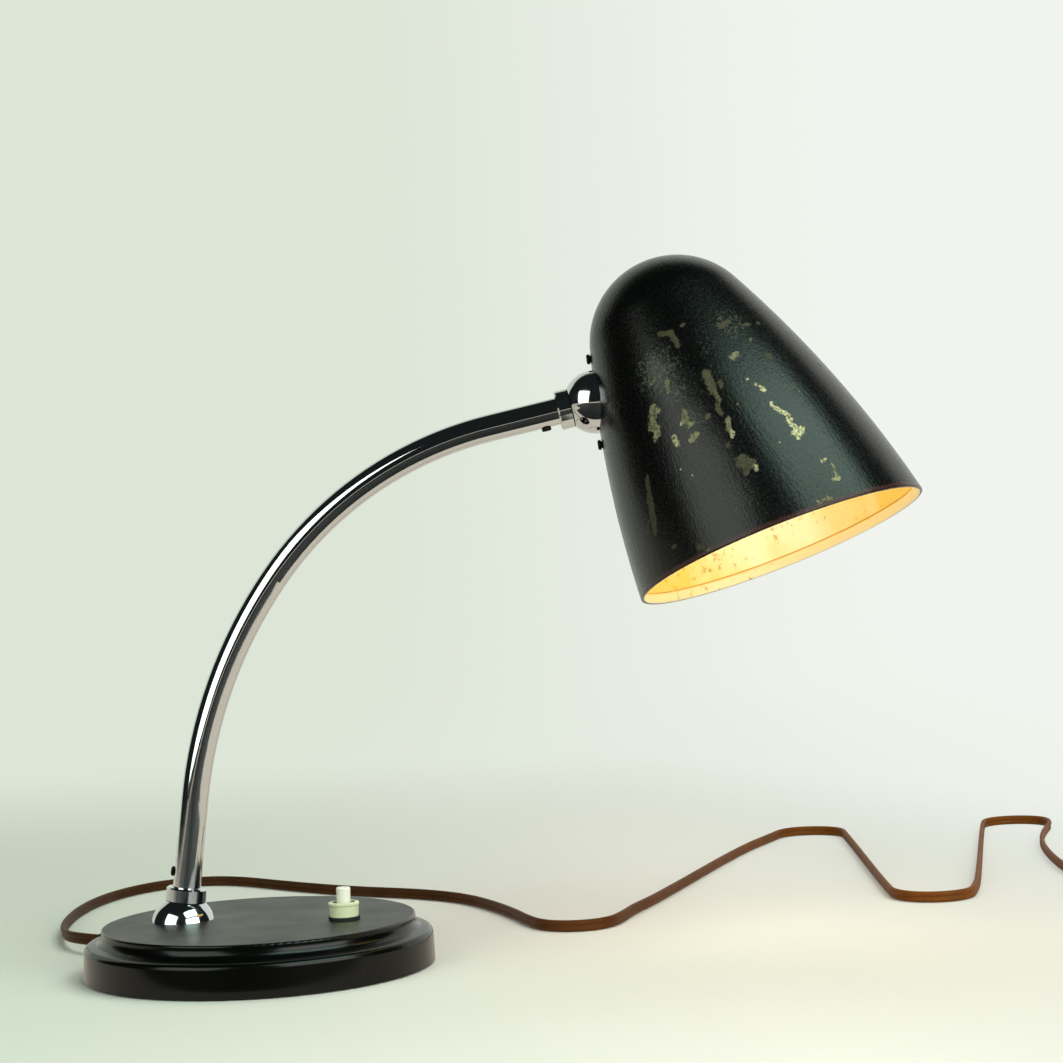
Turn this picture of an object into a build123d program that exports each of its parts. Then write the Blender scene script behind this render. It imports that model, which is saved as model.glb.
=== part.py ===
from build123d import *
import math
import os

os.makedirs("parts", exist_ok=True)

# Desk lamp: round pressed base, bent chrome arm, bell shade, friction ball joints at both arm ends.
# Millimetres. Origin under the middle of the base on the table, +Z up, +X towards the shade.

# Base
base_radius = 75.0
base_height = 20.9
wall_draw = 0.4
shoulder_width = 2.1
shoulder_rise = 2.5
ledge_width = 3.2
ledge_rise = 0.8
cove_width = 2.1
cove_rise = 4.7
top_edge_round = 0.9
base_sheet = 1.2
felt_thickness = 1.5
felt_show = 0.6
plate_thickness = 1.2
lead_room = 7.3
ballast_edge_gap = 2.2
boss_radius = 5.0
boss_circle = 50.0
boss_angles = (75.0, 195.0, 315.0)
plate_screw_radius = 1.9
plate_screw_head = 3.6
plate_screw_depth = 6.0
base_turn = -13.5
joint_offset = 35.0
switch_offset = 38.5

# Friction ball joints, the same at both ends of the arm
dome_radius = 13.9
dome_wall = 1.2
dome_sink = 2.9
dome_skirt = 3.4
seat_radius = 12.0
seat_thickness = 2.0
neck_radius = 5.0
neck_bore = 3.0
stem_radius = 3.5
stem_bore = 2.2
joint_swing = 13.5
slot_play = 0.2
collar_radius = 8.65
collar_top = 17.0
collar_bevel = 0.6
spigot_length = 12.0
cap_wall = 1.6
cap_spread = 40.0
washer_wall = 0.48
washer_radius = 5.6
stem_nut_flats = 9.0
stem_nut_height = 1.8
neck_nut_flats = 14.0
neck_nut_height = 2.5
neck_washer_radius = 9.0
neck_washer_height = 1.0
set_screw_reach = 23.5
set_screw_radius = 1.5
set_screw_head = 2.1
set_screw_head_height = 1.3

# Arm
tube_radius = 6.0
tube_wall = 1.0
arm_lean = 7.6
foot_length = 55.0
lower_bend_radius = 204.0
lower_bend_angle = 29.0
upper_bend_radius = 159.0
upper_bend_angle = 42.05
head_length = 47.6
lead_radius = 1.6
lead_straight = 8.0
lead_spacing = 8.0
inlet_bow = 14.0
outlet_bow = 8.0

# Shade
shade_tilt = 23.2
shade_lean = 9.95
nose_radius = 38.0
nose_angle = 69.0
bell_depth = 147.4
bell_radius = 65.2
mount_depth = 46.7
mouth_depth = 139.2
mouth_trim = 4.7
shade_sheet = 1.0
hem_height = 4.4
hem_thickness = 0.8
screw_spread = 19.3
bracket_screw_radius = 1.6
bracket_screw_head = 2.2
bracket_screw_head_height = 1.5
bracket_sheet = 1.5
bracket_bite = 1.2
bracket_width = 12.0
bracket_gap = 0.95
bracket_leg = 22.5

# Lampholder and bulb
holder_radius = 19.5
holder_length = 36.0
holder_room = 14.0
holder_room_depth = 27.0
nipple_radius = 5.0
nipple_length = 6.5
holder_nut_flats = 14.0
holder_nut_height = 3.0
contact_thickness = 1.5
bulb_cap_radius = 13.0
bulb_cap_length = 24.0
bulb_radius = 22.5
bulb_length = 48.0
bulb_wall = 0.8
bulb_flare = 0.3

# Push switch
button_radius = 3.0
button_show = 6.2
button_travel = 3.0
button_flange = 4.2
button_flange_height = 2.0
switch_neck_radius = 5.0
switch_collar_radius = 6.2
switch_collar_rim = 6.55
switch_collar_height = 6.0
switch_rim_height = 1.5
switch_neck_drop = 1.1
gasket_radius = 6.7
gasket_thickness = 1.2
switch_length = 22.0
switch_width = 15.0
switch_room = 2.5
switch_roof = 1.0
switch_floor = 2.8

# Mains cord
gland_angle = 146.0
gland_height = 6.6
gland_length = 20.0
gland_tip_radius = 3.1
gland_root_radius = 3.9
gland_flange_radius = 4.2
gland_flange_height = 1.6
gland_neck_radius = 3.2
gland_inside_radius = 3.7
cord_height = 5.3
cord_thickness = 2.7
cord_edge = 0.8
cord_lift = 0.1
first_run = 17.5
plug_length = 36.0
plug_width = 26.0
plug_waist = 15.6
plug_thickness = 11.0
plug_tail_radius = 4.2
plug_tail_length = 12.0
pin_radius = 2.0
pin_length = 19.0
pin_pitch = 18.6

# Clearances
thread_gap = 0.05
slide_gap = 0.06
free_gap = 0.3


# Frames
def meridian(plane):
    """Half-section plane of a turned piece: x is the radius, y runs along the plane's normal."""
    return Plane(origin=plane.origin, x_dir=plane.x_dir, z_dir=-plane.y_dir)


def spin(plane):
    return Axis(plane.origin, plane.z_dir)


def flat(point):
    return (point.X, point.Y)


turn = math.radians(base_turn)
base_line = Vector(math.cos(turn), math.sin(turn), 0)
base_side = Vector(-math.sin(turn), math.cos(turn), 0)
lower_ball = base_line * -joint_offset + Vector(0, 0, base_height - dome_sink)
arm_plane = Plane(origin=lower_ball, x_dir=(1, 0, 0), z_dir=(0, -1, 0))
heading = 90.0 - arm_lean


def arm_line(gap):
    """Centre line of the arm between points that lie gap short of the two ball centres."""
    with BuildLine(arm_plane) as line:
        foot = PolarLine(
            (gap * math.cos(math.radians(heading)), gap * math.sin(math.radians(heading))),
            foot_length - gap,
            heading,
        )
        lower_bend = JernArc(foot @ 1, foot % 1, lower_bend_radius, -lower_bend_angle)
        upper_bend = JernArc(lower_bend @ 1, lower_bend % 1, upper_bend_radius, -upper_bend_angle)
        Line(upper_bend @ 1, upper_bend @ 1 + (upper_bend % 1) * (head_length - gap))
    return line.wire()


arm_axis = arm_line(0)
upper_ball = arm_axis @ 1
foot_way = arm_axis % 0
head_way = arm_axis % 1
lower_stem_plane = Plane(origin=lower_ball, x_dir=foot_way.rotate(Axis.Y, -90), z_dir=foot_way)
upper_stem_plane = Plane(origin=upper_ball, x_dir=head_way.rotate(Axis.Y, 90), z_dir=-head_way)
lower_dome_plane = Plane(origin=lower_ball, x_dir=(1, 0, 0), z_dir=(0, 0, 1))

# Wall of the bell: a nose arc about the axis, then one long side arc tangent to it
nose_turn = math.radians(nose_angle)
nose_end = Vector(nose_radius * math.sin(nose_turn), -nose_radius * (1 - math.cos(nose_turn)))
nose_normal = Vector(math.sin(nose_turn), math.cos(nose_turn))
nose_tangent = (math.cos(nose_turn), -math.sin(nose_turn))
side_run = Vector(bell_radius, -bell_depth) - nose_end
side_radius = -side_run.dot(side_run) / (2 * side_run.dot(nose_normal))
side_centre = nose_end - nose_normal * side_radius


def bell_wall_radius(depth, inset=0.0):
    fall = -depth - side_centre.Y
    return side_centre.X + math.sqrt((side_radius - inset) ** 2 - fall**2)


mount_radius = bell_wall_radius(mount_depth)
mount_slope = math.asin((-mount_depth - side_centre.Y) / side_radius)
tilt = math.radians(shade_tilt)
lean = math.radians(shade_lean)
bell_way = Vector(math.sin(tilt) * math.cos(lean), -math.sin(lean), -math.cos(tilt) * math.cos(lean))
bell_side = (head_way - bell_way * head_way.dot(bell_way)).normalized()
bell_apex = upper_ball + bell_side * mount_radius - bell_way * mount_depth
bell_plane = Plane(origin=bell_apex, x_dir=bell_side, z_dir=-bell_way)
upper_dome_plane = Plane(
    origin=upper_ball,
    x_dir=bell_way * math.cos(mount_slope) - bell_side * math.sin(mount_slope),
    z_dir=bell_side * -math.cos(mount_slope) - bell_way * math.sin(mount_slope),
)
trim = math.radians(mouth_trim)
mouth_plane = Plane(
    origin=bell_apex + bell_way * mouth_depth,
    x_dir=bell_side * math.cos(trim) + bell_way * math.sin(trim),
    z_dir=bell_side * math.sin(trim) - bell_way * math.cos(trim),
)


def bell(inset):
    """Solid bell whose outside lies inset within the outer wall of the shade."""
    centre = Vector(0, -nose_radius)
    inner = nose_radius - inset
    half = nose_turn / 2
    top = centre + Vector(0, inner)
    middle = centre + Vector(math.sin(half), math.cos(half)) * inner
    end = centre + nose_normal * inner
    foot = Vector(bell_wall_radius(bell_depth, inset), -bell_depth)
    with BuildPart() as form:
        with BuildSketch(meridian(bell_plane)):
            with BuildLine():
                ThreePointArc(flat(top), flat(middle), flat(end))
                TangentArc(flat(end), flat(foot), tangent=nose_tangent)
                Polyline(flat(foot), (0, -bell_depth), flat(top))
            make_face()
        revolve(axis=spin(bell_plane))
    return form.part


bell_form = bell(0)

# Base shell: pressed sheet with a flat top, a cove, a rounded ledge and a flared wall
cove_top_height = base_height - top_edge_round
cove_foot_height = cove_top_height - cove_rise
shoulder_height = cove_foot_height - ledge_rise
wall_top_height = shoulder_height - shoulder_rise
wall_top_radius = base_radius - wall_draw
shoulder_radius = wall_top_radius - shoulder_width
cove_foot_radius = shoulder_radius - ledge_width
cove_top_radius = cove_foot_radius - cove_width
top_flat_radius = cove_top_radius - top_edge_round
shell_foot = felt_show
inner_top = base_height - base_sheet
switch_place = base_line * switch_offset
gland_turn = math.radians(gland_angle)
gland_way = Vector(math.cos(gland_turn), math.sin(gland_turn), 0)
gland_plane = Plane(
    origin=gland_way * base_radius + Vector(0, 0, gland_height),
    x_dir=(0, 0, 1),
    z_dir=gland_way,
)
inside_wall = base_radius - base_sheet
inside_ledge = cove_foot_height - base_sheet
inside_top_radius = cove_top_radius - base_sheet
with BuildPart() as base_shell:
    with BuildSketch(Plane.XZ):
        with BuildLine():
            Line((base_radius, shell_foot), (wall_top_radius, wall_top_height))
            TangentArc(
                (wall_top_radius, wall_top_height), (shoulder_radius, shoulder_height), tangent=(0, 1)
            )
            Line((shoulder_radius, shoulder_height), (cove_foot_radius, cove_foot_height))
            RadiusArc(
                (cove_foot_radius, cove_foot_height),
                (cove_top_radius, cove_top_height),
                cove_rise,
            )
            RadiusArc(
                (cove_top_radius, cove_top_height),
                (top_flat_radius, base_height),
                -top_edge_round,
            )
            Polyline(
                (top_flat_radius, base_height),
                (0, base_height),
                (0, inner_top),
                (inside_top_radius, inner_top),
                (cove_foot_radius - base_sheet, inside_ledge),
                (shoulder_radius - base_sheet, shoulder_height - base_sheet),
                (wall_top_radius - base_sheet, wall_top_height),
                (inside_wall, shell_foot),
                (base_radius, shell_foot),
            )
        make_face()
    revolve(axis=Axis.Z)
    with BuildSketch(Plane.XY.offset(base_height)):
        with Locations((lower_ball.X, lower_ball.Y)):
            Circle(neck_radius + thread_gap)
        with Locations((switch_place.X, switch_place.Y)):
            Circle(switch_neck_radius + thread_gap)
    extrude(amount=-2 * base_sheet, mode=Mode.SUBTRACT)
    with BuildSketch(gland_plane):
        Circle(gland_neck_radius + thread_gap)
    extrude(amount=3 * base_sheet, both=True, mode=Mode.SUBTRACT)
base_shell.part.label = "base_shell"
export_step(base_shell.part, "parts/base_shell.step")

# Cast iron ballast hanging under the top, with bosses for the bottom plate
plate_top = felt_thickness + plate_thickness
ballast_foot = plate_top + lead_room
ballast_thickness = inner_top - ballast_foot
boss_places = [
    base_line * (boss_circle * math.cos(math.radians(turn)))
    + base_side * (boss_circle * math.sin(math.radians(turn)))
    for turn in boss_angles
]
boss_spots = [(place.X, place.Y) for place in boss_places]
switch_plane = Plane(
    origin=switch_place + Vector(0, 0, base_height), x_dir=base_line, z_dir=(0, 0, 1)
)
with BuildPart() as ballast:
    with BuildSketch(Plane.XY.offset(ballast_foot)):
        Circle(inside_top_radius - ballast_edge_gap)
    extrude(amount=ballast_thickness)
    with BuildSketch(Plane.XY.offset(plate_top)):
        with Locations(*boss_spots):
            Circle(boss_radius)
    extrude(amount=ballast_foot - plate_top + base_sheet)
    with BuildSketch(Plane.XY.offset(inner_top)):
        with Locations((lower_ball.X, lower_ball.Y)):
            Circle(neck_radius + free_gap)
    extrude(amount=-2 * ballast_thickness, mode=Mode.SUBTRACT)
    with BuildSketch(switch_plane):
        Rectangle(switch_length + 4 * free_gap, switch_width + 4 * free_gap)
    extrude(amount=-3 * ballast_thickness, mode=Mode.SUBTRACT)
    with BuildSketch(Plane.XY.offset(plate_top)):
        with Locations(*boss_spots):
            Circle(plate_screw_radius + thread_gap)
    extrude(amount=plate_screw_depth, mode=Mode.SUBTRACT)
ballast.part.label = "ballast"
export_step(ballast.part, "parts/ballast.step")

# Bottom plate, its screws and the felt that the lamp stands on
plate_radius = inside_wall - 2 * free_gap
with BuildPart() as base_plate:
    with BuildSketch(Plane.XY.offset(felt_thickness)):
        Circle(plate_radius)
    extrude(amount=plate_thickness)
    for spot in boss_spots:
        with BuildSketch(Plane(origin=(spot[0], spot[1], felt_thickness))):
            Circle(plate_screw_head + thread_gap)
        with BuildSketch(Plane(origin=(spot[0], spot[1], plate_top))):
            Circle(plate_screw_radius + thread_gap)
        loft(mode=Mode.SUBTRACT)
base_plate.part.label = "base_plate"
export_step(base_plate.part, "parts/base_plate.step")

with BuildPart() as plate_screws:
    for spot in boss_spots:
        with BuildSketch(Plane(origin=(spot[0], spot[1], felt_thickness))):
            Circle(plate_screw_head)
        with BuildSketch(Plane(origin=(spot[0], spot[1], plate_top))):
            Circle(plate_screw_radius)
        loft()
        with BuildSketch(Plane(origin=(spot[0], spot[1], plate_top))):
            Circle(plate_screw_radius)
        extrude(amount=plate_screw_depth - free_gap)
plate_screws.part.label = "plate_screws"
export_step(plate_screws.part, "parts/plate_screws.step")

with BuildPart() as base_felt:
    with BuildSketch(Plane.XY):
        Circle(plate_radius - 2 * free_gap)
    extrude(amount=felt_thickness)
base_felt.part.label = "base_felt"
export_step(base_felt.part, "parts/base_felt.step")

# Push switch: body and threaded neck under the top, gasket and ring nut above it, button in the neck
switch_height = inner_top - plate_top - switch_room
neck_top = gasket_thickness + switch_collar_height - switch_neck_drop
cavity_radius = button_flange + free_gap
cavity_top = -base_sheet - switch_roof
cavity_floor = -base_sheet - switch_height + switch_floor
with BuildPart() as switch_body:
    with BuildSketch(switch_plane.offset(-base_sheet)):
        Rectangle(switch_length, switch_width)
    extrude(amount=-switch_height)
    fillet(switch_body.edges().filter_by(Axis.Z), switch_roof)
    with BuildSketch(switch_plane.offset(-base_sheet - switch_roof)):
        Circle(switch_neck_radius)
    extrude(amount=neck_top + base_sheet + switch_roof)
    with BuildSketch(switch_plane.offset(cavity_floor)):
        Circle(cavity_radius)
    extrude(amount=cavity_top - cavity_floor, mode=Mode.SUBTRACT)
    with BuildSketch(switch_plane.offset(neck_top)):
        Circle(button_radius + slide_gap)
    extrude(amount=cavity_top - neck_top, mode=Mode.SUBTRACT)
switch_body.part.label = "switch_body"
export_step(switch_body.part, "parts/switch_body.step")

with BuildPart() as switch_gasket:
    with BuildSketch(switch_plane):
        Circle(gasket_radius)
        Circle(switch_neck_radius + thread_gap, mode=Mode.SUBTRACT)
    extrude(amount=gasket_thickness)
switch_gasket.part.label = "switch_gasket"
export_step(switch_gasket.part, "parts/switch_gasket.step")

switch_collar_top = gasket_thickness + switch_collar_height
with BuildPart() as switch_collar:
    with BuildSketch(meridian(switch_plane)):
        Polygon(
            (switch_neck_radius + thread_gap, gasket_thickness),
            (switch_collar_radius, gasket_thickness),
            (switch_collar_radius, switch_collar_top - switch_rim_height),
            (switch_collar_rim, switch_collar_top - switch_rim_height + free_gap),
            (switch_collar_rim, switch_collar_top - free_gap),
            (switch_collar_rim - free_gap, switch_collar_top),
            (switch_neck_radius + thread_gap, switch_collar_top),
            align=None,
        )
    revolve(axis=spin(switch_plane))
switch_collar.part.label = "switch_collar"
export_step(switch_collar.part, "parts/switch_collar.step")

button_top = switch_collar_top + button_show
flange_top = cavity_top - free_gap
flange_foot = flange_top - button_flange_height
button_tail_radius = button_radius / 2
spring_top = flange_foot - button_travel - free_gap
with BuildPart() as switch_button:
    with BuildSketch(switch_plane.offset(flange_foot)):
        Circle(button_flange)
    extrude(amount=button_flange_height)
    with BuildSketch(switch_plane.offset(flange_foot)):
        Circle(button_radius)
    extrude(amount=button_top - flange_foot)
    fillet(switch_button.edges().group_by(Axis.Z)[-1], 2 * free_gap)
    with BuildSketch(switch_plane.offset(flange_foot)):
        Circle(button_tail_radius)
    extrude(amount=cavity_floor + button_travel + free_gap - flange_foot)
switch_button.part.label = "switch_button"
export_step(switch_button.part, "parts/switch_button.step")

with BuildPart() as switch_spring:
    with BuildSketch(switch_plane.offset(cavity_floor)):
        Circle(cavity_radius - free_gap)
        Circle(button_tail_radius + free_gap, mode=Mode.SUBTRACT)
    extrude(amount=spring_top - cavity_floor)
switch_spring.part.label = "switch_spring"
export_step(switch_spring.part, "parts/switch_spring.step")

# Ball joint domes: pressed cups with a slot for the stem, screwed onto a seat
slot_radius = stem_radius + slot_play
swing = math.radians(joint_swing)
slot_reach = dome_radius * math.sin(swing) + stem_radius / math.cos(swing) + free_gap
slot_run = 2 * (slot_reach - slot_radius)
dome_room = dome_radius - dome_wall
dome_ends = {
    "lower": (lower_dome_plane, dome_sink),
    "upper": (upper_dome_plane, -dome_skirt),
}
for end, (plane, rim) in dome_ends.items():
    seat_top = max(rim, 0) + seat_thickness
    shoulder = seat_top + thread_gap
    thread = seat_radius + thread_gap
    rim_up = max(rim, 0)
    rim_radius = math.sqrt(dome_radius**2 - rim_up**2)
    rise = math.degrees(math.asin(rim_up / dome_radius))
    inner_rise = math.degrees(math.asin(shoulder / dome_room))
    with BuildPart() as dome:
        with BuildSketch(meridian(plane)):
            with BuildLine():
                if rim < 0:
                    Line((rim_radius, rim), (rim_radius, rim_up))
                CenterArc((0, 0), dome_radius, rise, 90 - rise)
                Line((0, dome_radius), (0, dome_room))
                CenterArc((0, 0), dome_room, 90, inner_rise - 90)
                Polyline(
                    (dome_room * math.cos(math.radians(inner_rise)), shoulder),
                    (thread, shoulder),
                    (thread, rim),
                    (rim_radius, rim),
                )
            make_face()
        revolve(axis=spin(plane))
        with BuildSketch(plane.offset(shoulder)):
            SlotCenterToCenter(slot_run, 2 * slot_radius)
        extrude(amount=dome_radius, mode=Mode.SUBTRACT)
        if rim < 0:
            add(bell_form, mode=Mode.SUBTRACT)
    dome.part.label = f"{end}_dome"
    export_step(dome.part, f"parts/{end}_dome.step")

# Seats with their hollow necks, washers and nuts
leg_top = -(shade_sheet + bracket_gap)
leg_foot = leg_top - bracket_sheet
lower_clamp = ballast_foot - lower_ball.Z
neck_ends = {"lower": (lower_clamp, neck_washer_height), "upper": (leg_foot, 0.0)}
for end, (plane, rim) in dome_ends.items():
    clamp, washer = neck_ends[end]
    nut_top = clamp - washer
    nut_foot = nut_top - neck_nut_height
    with BuildPart() as seat:
        with BuildSketch(plane.offset(rim)):
            Circle(seat_radius)
        extrude(amount=max(rim, 0) + seat_thickness - rim)
        if rim < 0:
            add(bell_form, mode=Mode.SUBTRACT)
        with BuildSketch(plane.offset(max(rim, 0))):
            Circle(neck_radius)
        extrude(amount=nut_foot - max(rim, 0) - free_gap)
        with BuildSketch(plane.offset(nut_foot - 2 * free_gap)):
            Circle(neck_bore)
        extrude(amount=seat_thickness + max(rim, 0) - nut_foot + 4 * free_gap, mode=Mode.SUBTRACT)
    seat.part.label = f"{end}_seat"
    export_step(seat.part, f"parts/{end}_seat.step")
    with BuildPart() as seat_nut:
        with BuildSketch(plane.offset(nut_foot)):
            RegularPolygon(neck_nut_flats / 2, 6, major_radius=False)
            Circle(neck_radius + thread_gap, mode=Mode.SUBTRACT)
        extrude(amount=neck_nut_height)
    seat_nut.part.label = f"{end}_seat_nut"
    export_step(seat_nut.part, f"parts/{end}_seat_nut.step")

with BuildPart() as lower_washer:
    with BuildSketch(lower_dome_plane.offset(lower_clamp - neck_washer_height)):
        Circle(neck_washer_radius)
        Circle(neck_radius + free_gap, mode=Mode.SUBTRACT)
    extrude(amount=neck_washer_height)
lower_washer.part.label = "lower_seat_washer"
export_step(lower_washer.part, "parts/lower_seat_washer.step")

# Sliding half of each joint: collar, hollow stem, friction cap, spring washer, nut and set screw
cap_radius = dome_room - slide_gap
cap_room = cap_radius - cap_wall
bore = stem_radius + thread_gap
washer_lip = math.sqrt(cap_room**2 - washer_radius**2) - thread_gap
washer_foot = washer_lip - 2 * washer_wall
nut_top = washer_foot - thread_gap
nut_foot = nut_top - stem_nut_height
saddle = dome_radius + free_gap
saddle_rise = math.degrees(math.acos(collar_radius / saddle))
saddle_bore = math.degrees(math.acos(bore / saddle))
spigot_radius = tube_radius - tube_wall - thread_gap
stem_planes = {"lower": lower_stem_plane, "upper": upper_stem_plane}
for end, plane in stem_planes.items():
    screw_plane = Plane(
        origin=plane.origin + plane.z_dir * set_screw_reach, x_dir=plane.z_dir, z_dir=plane.x_dir
    )
    with BuildPart() as collar:
        with BuildSketch(meridian(plane)):
            with BuildLine():
                CenterArc((0, 0), saddle, saddle_rise, saddle_bore - saddle_rise)
                Polyline(
                    (bore, math.sqrt(saddle**2 - bore**2)),
                    (bore, collar_top + spigot_length),
                    (spigot_radius, collar_top + spigot_length),
                    (spigot_radius, collar_top),
                    (collar_radius - collar_bevel, collar_top),
                    (collar_radius, collar_top - collar_bevel),
                    (collar_radius, math.sqrt(saddle**2 - collar_radius**2)),
                )
            make_face()
        revolve(axis=spin(plane))
        with BuildSketch(screw_plane):
            Circle(set_screw_radius + thread_gap)
        extrude(amount=tube_radius, mode=Mode.SUBTRACT)
    collar.part.label = f"{end}_collar"
    export_step(collar.part, f"parts/{end}_collar.step")

    with BuildPart() as stem:
        with BuildSketch(plane.offset(nut_foot - free_gap)):
            Circle(stem_radius)
            Circle(stem_bore, mode=Mode.SUBTRACT)
        extrude(amount=collar_top + spigot_length - nut_foot)
    stem.part.label = f"{end}_stem"
    export_step(stem.part, f"parts/{end}_stem.step")

    cap_lip = math.degrees(math.acos(bore / cap_radius))
    cap_lip_inside = math.degrees(math.acos(bore / cap_room))
    cap_rim = 90 - cap_spread
    with BuildPart() as cap:
        with BuildSketch(meridian(plane)):
            with BuildLine():
                CenterArc((0, 0), cap_radius, cap_rim, cap_lip - cap_rim)
                Line((bore, math.sqrt(cap_radius**2 - bore**2)), (bore, math.sqrt(cap_room**2 - bore**2)))
                CenterArc((0, 0), cap_room, cap_lip_inside, cap_rim - cap_lip_inside)
                PolarLine(
                    (cap_room * math.cos(math.radians(cap_rim)), cap_room * math.sin(math.radians(cap_rim))),
                    cap_wall,
                    cap_rim,
                )
            make_face()
        revolve(axis=spin(plane))
    cap.part.label = f"{end}_friction_cap"
    export_step(cap.part, f"parts/{end}_friction_cap.step")

    with BuildPart() as spring_washer:
        with BuildSketch(meridian(plane)):
            Polygon(
                (bore + thread_gap, washer_foot),
                (washer_radius, washer_lip - washer_wall),
                (washer_radius, washer_lip),
                (bore + thread_gap, washer_foot + washer_wall),
                align=None,
            )
        revolve(axis=spin(plane))
    spring_washer.part.label = f"{end}_spring_washer"
    export_step(spring_washer.part, f"parts/{end}_spring_washer.step")

    with BuildPart() as stem_nut:
        with BuildSketch(plane.offset(nut_foot)):
            RegularPolygon(stem_nut_flats / 2, 6, major_radius=False)
            Circle(bore, mode=Mode.SUBTRACT)
        extrude(amount=stem_nut_height)
    stem_nut.part.label = f"{end}_stem_nut"
    export_step(stem_nut.part, f"parts/{end}_stem_nut.step")

    with BuildPart() as set_screw:
        with BuildSketch(screw_plane.offset(stem_radius + free_gap)):
            Circle(set_screw_radius)
        extrude(amount=tube_radius + thread_gap - stem_radius - free_gap)
        with BuildSketch(screw_plane.offset(tube_radius + thread_gap)):
            Circle(set_screw_head)
        extrude(amount=set_screw_head_height)
        fillet(
            set_screw.edges().filter_by(GeomType.CIRCLE).sort_by(Axis(plane.origin, plane.x_dir))[-1],
            set_screw_head_height / 2,
        )
    set_screw.part.label = f"{end}_set_screw"
    export_step(set_screw.part, f"parts/{end}_set_screw.step")

# Arm: bent chrome tube pushed over the two spigots, with the lead inside
tube_line = arm_line(collar_top)
with BuildPart() as arm_tube:
    with BuildSketch(Plane(origin=tube_line @ 0, x_dir=lower_stem_plane.x_dir, z_dir=foot_way)):
        Circle(tube_radius)
        Circle(tube_radius - tube_wall, mode=Mode.SUBTRACT)
    sweep(path=tube_line)
    for plane in stem_planes.values():
        with BuildSketch(Plane(origin=plane.origin + plane.z_dir * set_screw_reach, z_dir=plane.x_dir)):
            Circle(set_screw_radius + thread_gap)
        extrude(amount=2 * tube_radius, mode=Mode.SUBTRACT)
arm_tube.part.label = "arm_tube"
export_step(arm_tube.part, "parts/arm_tube.step")

lead_line = arm_line(nut_foot)
with BuildPart() as arm_lead:
    with BuildSketch(Plane(origin=lead_line @ 0, x_dir=lower_stem_plane.x_dir, z_dir=foot_way)):
        Circle(lead_radius)
    sweep(path=lead_line)
arm_lead.part.label = "arm_lead"
export_step(arm_lead.part, "parts/arm_lead.step")

# Shade: spun bell, its mouth trimmed a little off square and hemmed inside
hem_plane = mouth_plane.offset(hem_height)
with BuildPart() as bell_room:
    add(bell(shade_sheet))
    split(bisect_by=hem_plane, keep=Keep.TOP)
with BuildPart() as shade_shell:
    add(bell_form)
    add(bell(shade_sheet + hem_thickness), mode=Mode.SUBTRACT)
    add(bell_room.part, mode=Mode.SUBTRACT)
    split(bisect_by=mouth_plane, keep=Keep.TOP)
    with BuildSketch(upper_dome_plane):
        Circle(neck_radius + thread_gap)
        with Locations((screw_spread, 0), (-screw_spread, 0)):
            Circle(bracket_screw_radius + thread_gap)
    extrude(amount=4 * shade_sheet, both=True, mode=Mode.SUBTRACT)
shade_shell.part.label = "shade_shell"
export_step(shade_shell.part, "parts/shade_shell.step")

# Bracket inside the shade: a leg along the wall and an arm that carries the lampholder
leg_end = upper_dome_plane.from_local_coords((-bracket_leg, 0, leg_foot))
arm_level = bell_plane.to_local_coords(leg_end).Z
arm_root = bell_plane.to_local_coords(leg_end).X - bracket_bite
holder_plane = bell_plane.offset(arm_level - bracket_sheet)
with BuildPart() as shade_bracket:
    with BuildSketch(upper_dome_plane.offset(leg_foot)):
        Rectangle(2 * bracket_leg, bracket_width)
    extrude(amount=bracket_sheet)
    with BuildSketch(holder_plane):
        with Locations((arm_root / 2, 0)):
            Rectangle(-arm_root, bracket_width)
        Circle(bracket_width - nipple_radius / 2)
    extrude(amount=bracket_sheet)
    with BuildSketch(holder_plane):
        Circle(nipple_radius + thread_gap)
    extrude(amount=2 * bracket_sheet, both=True, mode=Mode.SUBTRACT)
    with BuildSketch(upper_dome_plane.offset(leg_foot)):
        Circle(neck_radius + thread_gap)
        with Locations((screw_spread, 0), (-screw_spread, 0)):
            Circle(bracket_screw_radius + thread_gap)
    extrude(amount=2 * bracket_sheet, both=True, mode=Mode.SUBTRACT)
shade_bracket.part.label = "shade_bracket"
export_step(shade_bracket.part, "parts/shade_bracket.step")

with BuildPart() as bracket_screws:
    for side in (screw_spread, -screw_spread):
        place = upper_dome_plane.from_local_coords((side, 0, 0))
        screw_plane = Plane(origin=place, x_dir=upper_dome_plane.x_dir, z_dir=upper_dome_plane.z_dir)
        with BuildSketch(screw_plane.offset(leg_foot - bracket_sheet)):
            Circle(bracket_screw_radius)
        extrude(amount=bracket_sheet - leg_foot)
        with BuildSketch(screw_plane):
            Circle(bracket_screw_head)
        extrude(amount=bracket_screw_head_height)
    heads = bracket_screws.edges().filter_by(GeomType.CIRCLE)
    fillet(heads.group_by(Axis(upper_ball, upper_dome_plane.z_dir))[-1], bracket_screw_head_height / 2)
bracket_screws.part.label = "bracket_screws"
export_step(bracket_screws.part, "parts/bracket_screws.step")

# Lampholder with its nipple and nut, brass inner shell and contact
with BuildPart() as lampholder:
    with BuildSketch(holder_plane):
        Circle(holder_radius)
    extrude(amount=-holder_length)
    fillet(lampholder.edges().group_by(Axis(bell_apex, bell_way))[0], 2 * bracket_sheet)
    with BuildSketch(holder_plane.offset(-bracket_sheet)):
        Circle(nipple_radius)
    extrude(amount=nipple_length + bracket_sheet)
    with BuildSketch(holder_plane.offset(-holder_length)):
        Circle(holder_room)
    extrude(amount=holder_room_depth, mode=Mode.SUBTRACT)
lampholder.part.label = "lampholder"
export_step(lampholder.part, "parts/lampholder.step")

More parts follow.
